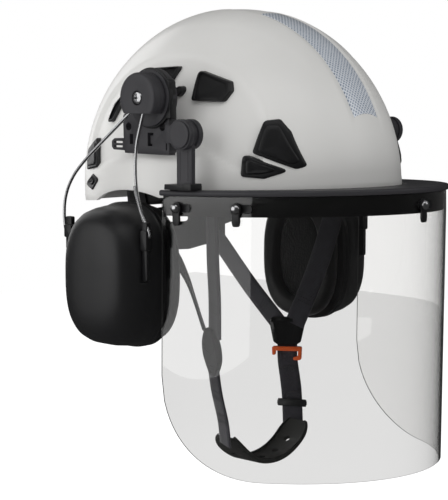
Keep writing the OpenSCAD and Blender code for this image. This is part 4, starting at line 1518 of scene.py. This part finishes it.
# ---------------------------------------------------------------- chin strap
STRAPS = {
    "chin_strap_front_right": ([(-84, -50, 4), (-83, -50, -20), (-80, -48, -55), (-75, -45, -85), (-69.5,
        -40, -114)],
                               (0.3, 1, 0)),
    "chin_strap_rear_right": ([(-52, 66, -47.5), (-58, 44, -46), (-63, 16, -54), (-65, -6, -74), (-66, -26,
        -112)],
                              (0.8, 1, 0.6)),
    "chin_strap_lower_right": ([(-64, -33, -140), (-59, -32, -160), (-51, -31, -184), (-47.2, -30, -203)],
                               (0.35, 1, 0)),
    "chin_strap_front_left": ([(84, -42, 4), (83, -33, -22), (77, -28, -50), (71.5, -20, -80), (62.5, -5.5,
        -123)],
                              (-0.4, 1, 0)),
    "chin_strap_rear_left": ([(47, 78, -46), (54, 70, -60), (58.5, 55, -80), (60, 38, -98), (59.5, 8, -124)],
                             (0, 1, -0.8)),
    "chin_strap_lower_left": ([(60, 0, -138), (58.6, -1.5, -152), (55.2, -7.5, -168), (51, -13, -180),
                               (47.4, -17.4, -203)], (-0.5, 1, 0)),
}


def build_straps():
    for node_name, (path, wide) in STRAPS.items():
        strap = ribbon(node_name.replace("strap", "webbing"), path, wide, STRAP_W, STRAP_T, 14)
        dress(strap, "webbing", "helmet", node_name)


def across_strap(points, wide, distance):
    """The middle of a strap and its two cross directions, a distance along from the first point."""
    path = curve_through(points, 14)
    run = 0
    for i in range(1, len(path) - 1):
        run += (path[i] - path[i - 1]).length
        if run >= distance:
            break
    way = (path[i + 1] - path[i - 1]).normalized()
    wide = Vector(wide)
    u = square_to(way, wide)
    return path[i], u, way.cross(u)


def stitch_tree():
    """Geometry nodes: even stitches of thread laid along every edge of a guide mesh."""
    tree = bpy.data.node_groups.new("stitch_rows", "GeometryNodeTree")
    sockets = {}
    tree.interface.new_socket("Geometry", in_out="INPUT", socket_type="NodeSocketGeometry")
    for name, kind, value in (("Pitch", "NodeSocketFloat", 1.5 * MM), ("Stitch length", "NodeSocketFloat",
            1.15 * MM),
                              ("Thread radius", "NodeSocketFloat", 0.26 * MM), ("Thread",
                                  "NodeSocketMaterial", None)):
        socket = tree.interface.new_socket(name, in_out="INPUT", socket_type=kind)
        if value is not None:
            socket.default_value = value
        sockets[name] = socket.identifier
    tree.interface.new_socket("Geometry", in_out="OUTPUT", socket_type="NodeSocketGeometry")
    start, end = tree.nodes.new("NodeGroupInput"), tree.nodes.new("NodeGroupOutput")
    curve = tree.nodes.new("GeometryNodeMeshToCurve")
    even = tree.nodes.new("GeometryNodeResampleCurve")
    even.mode = "LENGTH"
    thread = tree.nodes.new("GeometryNodeMeshIcoSphere")
    thread.inputs["Subdivisions"].default_value = 2
    shape = tree.nodes.new("ShaderNodeCombineXYZ")
    half = tree.nodes.new("ShaderNodeMath")
    half.operation = "MULTIPLY"
    half.inputs[1].default_value = 0.5
    tangent = tree.nodes.new("GeometryNodeInputTangent")
    turn = tree.nodes.new("FunctionNodeAlignRotationToVector")
    turn.axis = "Z"
    stamp = tree.nodes.new("GeometryNodeInstanceOnPoints")
    real = tree.nodes.new("GeometryNodeRealizeInstances")
    coat = tree.nodes.new("GeometryNodeSetMaterial")
    thread.inputs["Radius"].default_value = 1.0
    for a, b in ((start.outputs["Geometry"], curve.inputs[0]), (curve.outputs[0], even.inputs["Curve"]),
                 (start.outputs["Pitch"], even.inputs["Length"]), (even.outputs[0], stamp.inputs["Points"]),
                 (thread.outputs["Mesh"], stamp.inputs["Instance"]), (tangent.outputs[0],
                     turn.inputs["Vector"]),
                 (turn.outputs[0], stamp.inputs["Rotation"]), (start.outputs["Stitch length"],
                     half.inputs[0]),
                 (start.outputs["Thread radius"], shape.inputs["X"]), (start.outputs["Thread radius"],
                     shape.inputs["Y"]),
                 (half.outputs[0], shape.inputs["Z"]), (shape.outputs[0], stamp.inputs["Scale"]),
                 (stamp.outputs[0], real.inputs[0]), (real.outputs[0], coat.inputs["Geometry"]),
                 (start.outputs["Thread"], coat.inputs["Material"]), (coat.outputs[0], end.inputs[0])):
        tree.links.new(a, b)
    return tree, sockets


def build_stitches():
    """Bar tacks near both ends of every strap."""
    points, edges = [], []
    for path, wide in STRAPS.values():
        for way in (1, -1):
            for distance in (19, 21, 23, 25):
                centre, u, v = across_strap(path[::way], wide, distance)
                for face in (-1, 1):
                    points += [centre + u * side + v * face * (STRAP_T / 2 + 0.05) for side in (-6.4, 6.4)]
                    edges.append((len(points) - 2, len(points) - 1))
    data = bpy.data.meshes.new("strap_stitching")
    data.from_pydata([tuple(p * MM) for p in points], edges, [])
    piece = bpy.data.objects.new("strap_stitching", data)
    bpy.context.scene.collection.objects.link(piece)
    tree, sockets = stitch_tree()
    rows = piece.modifiers.new("stitches", "NODES")
    rows.node_group = tree
    rows[sockets["Pitch"]] = 1.6 * MM
    rows[sockets["Stitch length"]] = 1.5 * MM
    rows[sockets["Thread"]] = FINISH["thread"]
    applied(piece)
    smooth(piece, 180)
    dress(piece, "thread", "helmet", slot="webbing")


def build_slider():
    """Leaf-shaped slider that joins the two near straps: raised rim, crescent line and grip grooves."""
    outline = []
    for z, half in ((18, 3.2), (16.5, 5.5), (12, 8.6), (6, 11.2), (0, 12), (-6, 11.4), (-12, 8.6), (-17, 5.4),
                    (-19.6, 3.4)):
        outline.append((half, z))
    outline = outline + [(-y, z) for y, z in reversed(outline)]
    outline = [(p.y, p.z) for p in curve_through([(0, y, z) for y, z in outline + outline[:1]], 4)[:-1]]
    rings = [[(x, y * k, z * k) for y, z in outline]
             for x, k in ((2.5, 0.93), (2.2, 0.98), (1.4, 1.0), (-1.4, 1.0), (-2.2, 0.98), (-2.5, 0.93),
                          (-2.4, 0.7), (-2.3, 0.4))]
    slider = lofted("strap_joiner", rings, 40)
    grooves = []
    for k in range(3):
        z = -11.5 - 2.6 * k
        grooves.append(slab("groove", rounded([(-4 + k * 0.6, z - 0.4), (4 - k * 0.6, z - 0.4),
                                               (4 - k * 0.6, z + 0.4), (-4 + k * 0.6,
                                                   z + 0.4)], 0.3, 2), -4, -1.7))
    arc = [(math.cos(a) * 8.4,
        6 - math.sin(a) * 8.4) for a in [math.pi * (0.08 + 0.84 * i / 16) for i in range(17)]]
    back = [(math.cos(a) * 7.5,
        6.6 - math.sin(a) * 7.9) for a in [math.pi * (0.08 + 0.84 * i / 16) for i in range(17)]]
    grooves.append(slab("crescent", arc + back[::-1], -4, -1.8))
    cut(slider, *grooves)
    bevelled(slider, 0.25, 2, 45)
    placed(slider, (-66.5, -34, -126), (8, -9, -18))
    dress(slider, "black_plastic", "helmet", "strap_slider")


BUCKLE_AT, BUCKLE_TURN = (61, 1, -128), (0, 5, 35)


def build_buckle():
    """The far junction: a glossy rounded triangle with a sunk face, and the orange release under it."""
    outline = rounded([(-16, 11), (16, 11), (11.5, -10), (7, -13), (-7, -13), (-11.5, -10)], [5, 5, 3, 4, 4,
        3], 6)
    rings = [[(x, y * k, z * k) for y, z in outline]
             for x, k in ((-3.5, 0.9), (-2.6, 0.98), (-1.2, 1), (1.2, 1), (2.6, 0.98), (3.5, 0.9))]
    buckle = lofted("chin_buckle_moulding", rings, 40)
    dents = []
    for x0, x1 in ((-5, -2.9), (2.9, 5)):
        dents.append(slab("dent", rounded([(-9.5, 6.6), (9.5, 6.6), (4, -7), (-4, -7)], 2.5, 5), x0, x1))
    cut(buckle, *dents)
    bevelled(buckle, 0.5, 3, 45)
    dress(placed(buckle, BUCKLE_AT, BUCKLE_TURN), "glossy_plastic", "helmet", "chin_buckle",
        slot="black_plastic")
    # An open frame: a bar under the buckle, a short leg behind and a long hooked leg in front
    body = slab("release_latch", rounded([(-12, -25), (-5.6, -25), (-5.6, -22.6), (-9.6, -21.6), (-9.6,
        -17.4),
                                          (9.6, -17.4), (9.6, -21), (12, -21), (12.4, -13.8), (-12.4, -13.8)],
                                         [1.6, 1, 1, 1, 1, 1, 1, 1, 1.6, 1.6], 4), -3.8, 3.8)
    cut(body, box_piece("slot", (-1.6, -9.4, -30), (1.6, 9.4, -10)))
    bevelled(body, 0.5, 3, 45)
    dress(placed(body, BUCKLE_AT, BUCKLE_TURN), "orange_plastic", "chin_release", "release_clip")


def build_keeper():
    """Sliding keeper on the lower far strap, with small side tabs."""
    body = box_piece("strap_loop", (-3, -11.6, -3), (3, 11.6, 3))
    cut(body, box_piece("slot", (-1.8, -10, -4), (1.8, 10, 4)))
    bevelled(body, 0.6, 3, 45)
    tabs = [bevelled(box_piece("tab", (-1.2, y, -1.6), (1.2, y + 1.4, 1.6)), 0.3) for y in (-12.4, 11)]
    loop = joined("strap_loop", [body] + tabs)
    dress(placed(loop, (49.6, -14.4, -186), (0, 13, 27)), "black_plastic", "helmet", "strap_keeper")


def build_chin_cup():
    """A shallow rubber boat under the chin: thick rim, raised ribs and five vent holes."""
    reach = math.degrees(math.acos(29 / 54))
    rings = []
    steps = 64
    for i in range(steps + 1):
        angle = math.radians(-reach + 2 * reach * i / steps)
        end = abs(i / steps * 2 - 1)
        half = 14 * math.sqrt(max(1 - max(0, (end - 0.72) / 0.28) ** 2 * 0.55, 0.05))
        section = [(51.2, -half + 1.6), (51.0, 0), (51.2, half - 1.6), (49.9, half - 1.4), (49.4, half - 0.5),
                   (49.9, half), (52.6, half), (53.6, half - 0.6), (54, half - 2.2), (54, 0), (54,
                       -half + 2.2),
                   (53.6, -half + 0.6), (52.6, -half), (49.9, -half), (49.4, -half + 0.5), (49.9,
                       -half + 1.4)]
        rings.append([(r * math.sin(angle), -26 + y, -170 - r * math.cos(angle)) for r, y in section])
    cup = lofted("chin_rest", rings, 45)
    holes = []
    for degrees in (-36, -18, 0, 18, 36):
        a = math.radians(degrees)
        out = Vector((math.sin(a), 0, -math.cos(a)))
        holes.append(rod("hole", Vector((0, -26, -170)) + out * 45, Vector((0, -26, -170)) + out * 60, 2.5,
            None, 24))
    cut(cup, *holes)
    bevelled(cup, 0.4, 2, 50)
    dress(cup, "chin_rubber", "helmet", "chin_cup")


build_straps()
build_stitches()
build_slider()
build_buckle()
build_keeper()
build_chin_cup()


# ---------------------------------------------------------------- studio and camera
VIEW_AZIMUTH, VIEW_ELEVATION = math.radians(-46.7), math.radians(5.7)
VIEW_DISTANCE = 1199.8
VIEW_AIM = (-11.9, -56.1)
FLOOR_Z, FLOOR_HALF = -560, 3000
AMBIENT, GLOSS_AMBIENT = 0.42, 0.05
PAPER_GLOW, PAPER_IN_GLOSS = 0.35, (0.06, 0.06, 0.06, 1)
KEY_POWER, FILL_POWER, FRONT_POWER, TOP_POWER, RIM_POWER = 11.5, 3.2, 4.2, 1.5, 4


def seen_directly(tree):
    """The light path, and 1 where the camera sees a surface straight or through the clear sheet."""
    path = tree.nodes.new("ShaderNodeLightPath")
    straight = math_node(tree, "MAXIMUM", path.outputs["Is Camera Ray"], path.outputs["Is Transmission Ray"])
    later = math_node(tree, "ADD", path.outputs["Diffuse Depth"], path.outputs["Glossy Depth"], True)
    return path, math_node(tree, "MULTIPLY", straight, math_node(tree, "SUBTRACT", 1.0, later))


def flat_material(name, colour, rough, strength=0.0):
    """A plain studio surface that may glow; it reflects darkly in glossy pieces."""
    material, tree, shader, coords = new_material(name, Roughness=rough)
    broad = noise(tree, coords.outputs["Object"], 3, 2)
    low = tuple(c * 0.985 for c in colour)
    shade = blend_colour(tree, broad, (*low, 1), (*colour, 1))
    tree.links.new(shade, shader.inputs["Base Color"])
    if strength:
        # Brighter when seen directly or through the clear sheet than as a light on the object
        path, seen = seen_directly(tree)
        tree.links.new(shade, shader.inputs["Emission Color"])
        lit = math_node(tree, "MAXIMUM", math_node(tree, "MULTIPLY", seen, strength),
                        math_node(tree, "MULTIPLY", path.outputs["Is Diffuse Ray"], PAPER_GLOW))
        tree.links.new(lit, shader.inputs["Emission Strength"])
        dimmed = blend_colour(tree, path.outputs["Is Glossy Ray"], shade, PAPER_IN_GLOSS)
        tree.links.new(dimmed, shader.inputs["Base Color"])
    return material


def build_camera():
    back = Vector((math.sin(VIEW_AZIMUTH) * math.cos(VIEW_ELEVATION),
                   -math.cos(VIEW_AZIMUTH) * math.cos(VIEW_ELEVATION), math.sin(VIEW_ELEVATION)))
    right = Vector((math.cos(VIEW_AZIMUTH), math.sin(VIEW_AZIMUTH), 0))
    up = back.cross(right)
    place = (back * VIEW_DISTANCE + right * VIEW_AIM[0] + up * VIEW_AIM[1]) * MM
    data = bpy.data.cameras.new("camera")
    data.sensor_width = 36
    data.lens = 108
    data.clip_start, data.clip_end = 0.05, 50
    camera = bpy.data.objects.new("camera", data)
    turn = Matrix((right, up, back)).transposed().to_4x4()
    camera.matrix_world = Matrix.Translation(place) @ turn
    bpy.context.scene.collection.objects.link(camera)
    bpy.context.scene.camera = camera
    return camera, right, up, back


def softbox(name, place, aim, size, power, colour=(1, 1, 1)):
    data = bpy.data.lights.new(name, "AREA")
    data.shape = "RECTANGLE"
    data.size, data.size_y = size
    data.energy = power
    data.color = colour
    lamp = bpy.data.objects.new(name, data)
    way = (Vector(aim) - Vector(place)).normalized()
    lamp.matrix_world = Matrix.Translation(Vector(place)) @ way.to_track_quat("-Z", "Y").to_matrix().to_4x4()
    bpy.context.scene.collection.objects.link(lamp)
    return lamp


def build_world():
    """A white backdrop seen directly or through the clear sheet, and a dimmer one for the lighting."""
    world = bpy.data.worlds.new("studio_world")
    world.use_nodes = True
    tree = world.node_tree
    shade = tree.nodes["Background"]
    path, seen = seen_directly(tree)
    soft = ramp(tree, path.outputs["Is Glossy Ray"], 0, 1, AMBIENT, GLOSS_AMBIENT)
    tree.links.new(math_node(tree, "MAXIMUM", seen, soft), shade.inputs["Strength"])
    shade.inputs["Color"].default_value = (1, 1, 1, 1)
    bpy.context.scene.world = world


def build_studio(right, back):
    """A pale sweep, a big softbox to the camera's left, and dimmer fill on its right and above."""
    aim = Vector((0, 0, -0.04))
    corners = [(-FLOOR_HALF, -FLOOR_HALF), (FLOOR_HALF, -FLOOR_HALF), (FLOOR_HALF, FLOOR_HALF),
               (-FLOOR_HALF, FLOOR_HALF)]
    floor = lofted("studio_floor", [[(x, y, z) for x, y in corners] for z in (FLOOR_Z - 20, FLOOR_Z)])
    floor.data.materials.append(flat_material("studio_paper", (0.9, 0.9, 0.9), 0.9, 0.85))
    flat = Vector((back.x, back.y, 0)).normalized()
    side = Vector((right.x, right.y, 0)).normalized()
    softbox("key", aim - side * 1.5 + flat * 0.75 + Vector((0, 0, 0.35)), aim, (2.0, 1.6), KEY_POWER)
    softbox("fill", aim + side * 1.5 + flat * 0.5 + Vector((0, 0, 1.0)), aim, (1.0, 1.4), FILL_POWER)
    softbox("front", aim + side * 0.1 + flat * 1.1 + Vector((0, 0, 1.5)), aim, (1.6, 0.9), FRONT_POWER)
    softbox("top", aim + Vector((0, 0, 1.6)) - flat * 0.3, aim, (1.2, 1.2), TOP_POWER)
    softbox("rim", aim - flat * 1.2 - side * 0.9 + Vector((0, 0, 0.5)), aim, (0.8, 1.2), RIM_POWER)
    build_world()


camera, view_right, view_up, view_back = build_camera()
build_studio(view_right, view_back)
bpy.context.scene.view_settings.view_transform = "Standard"
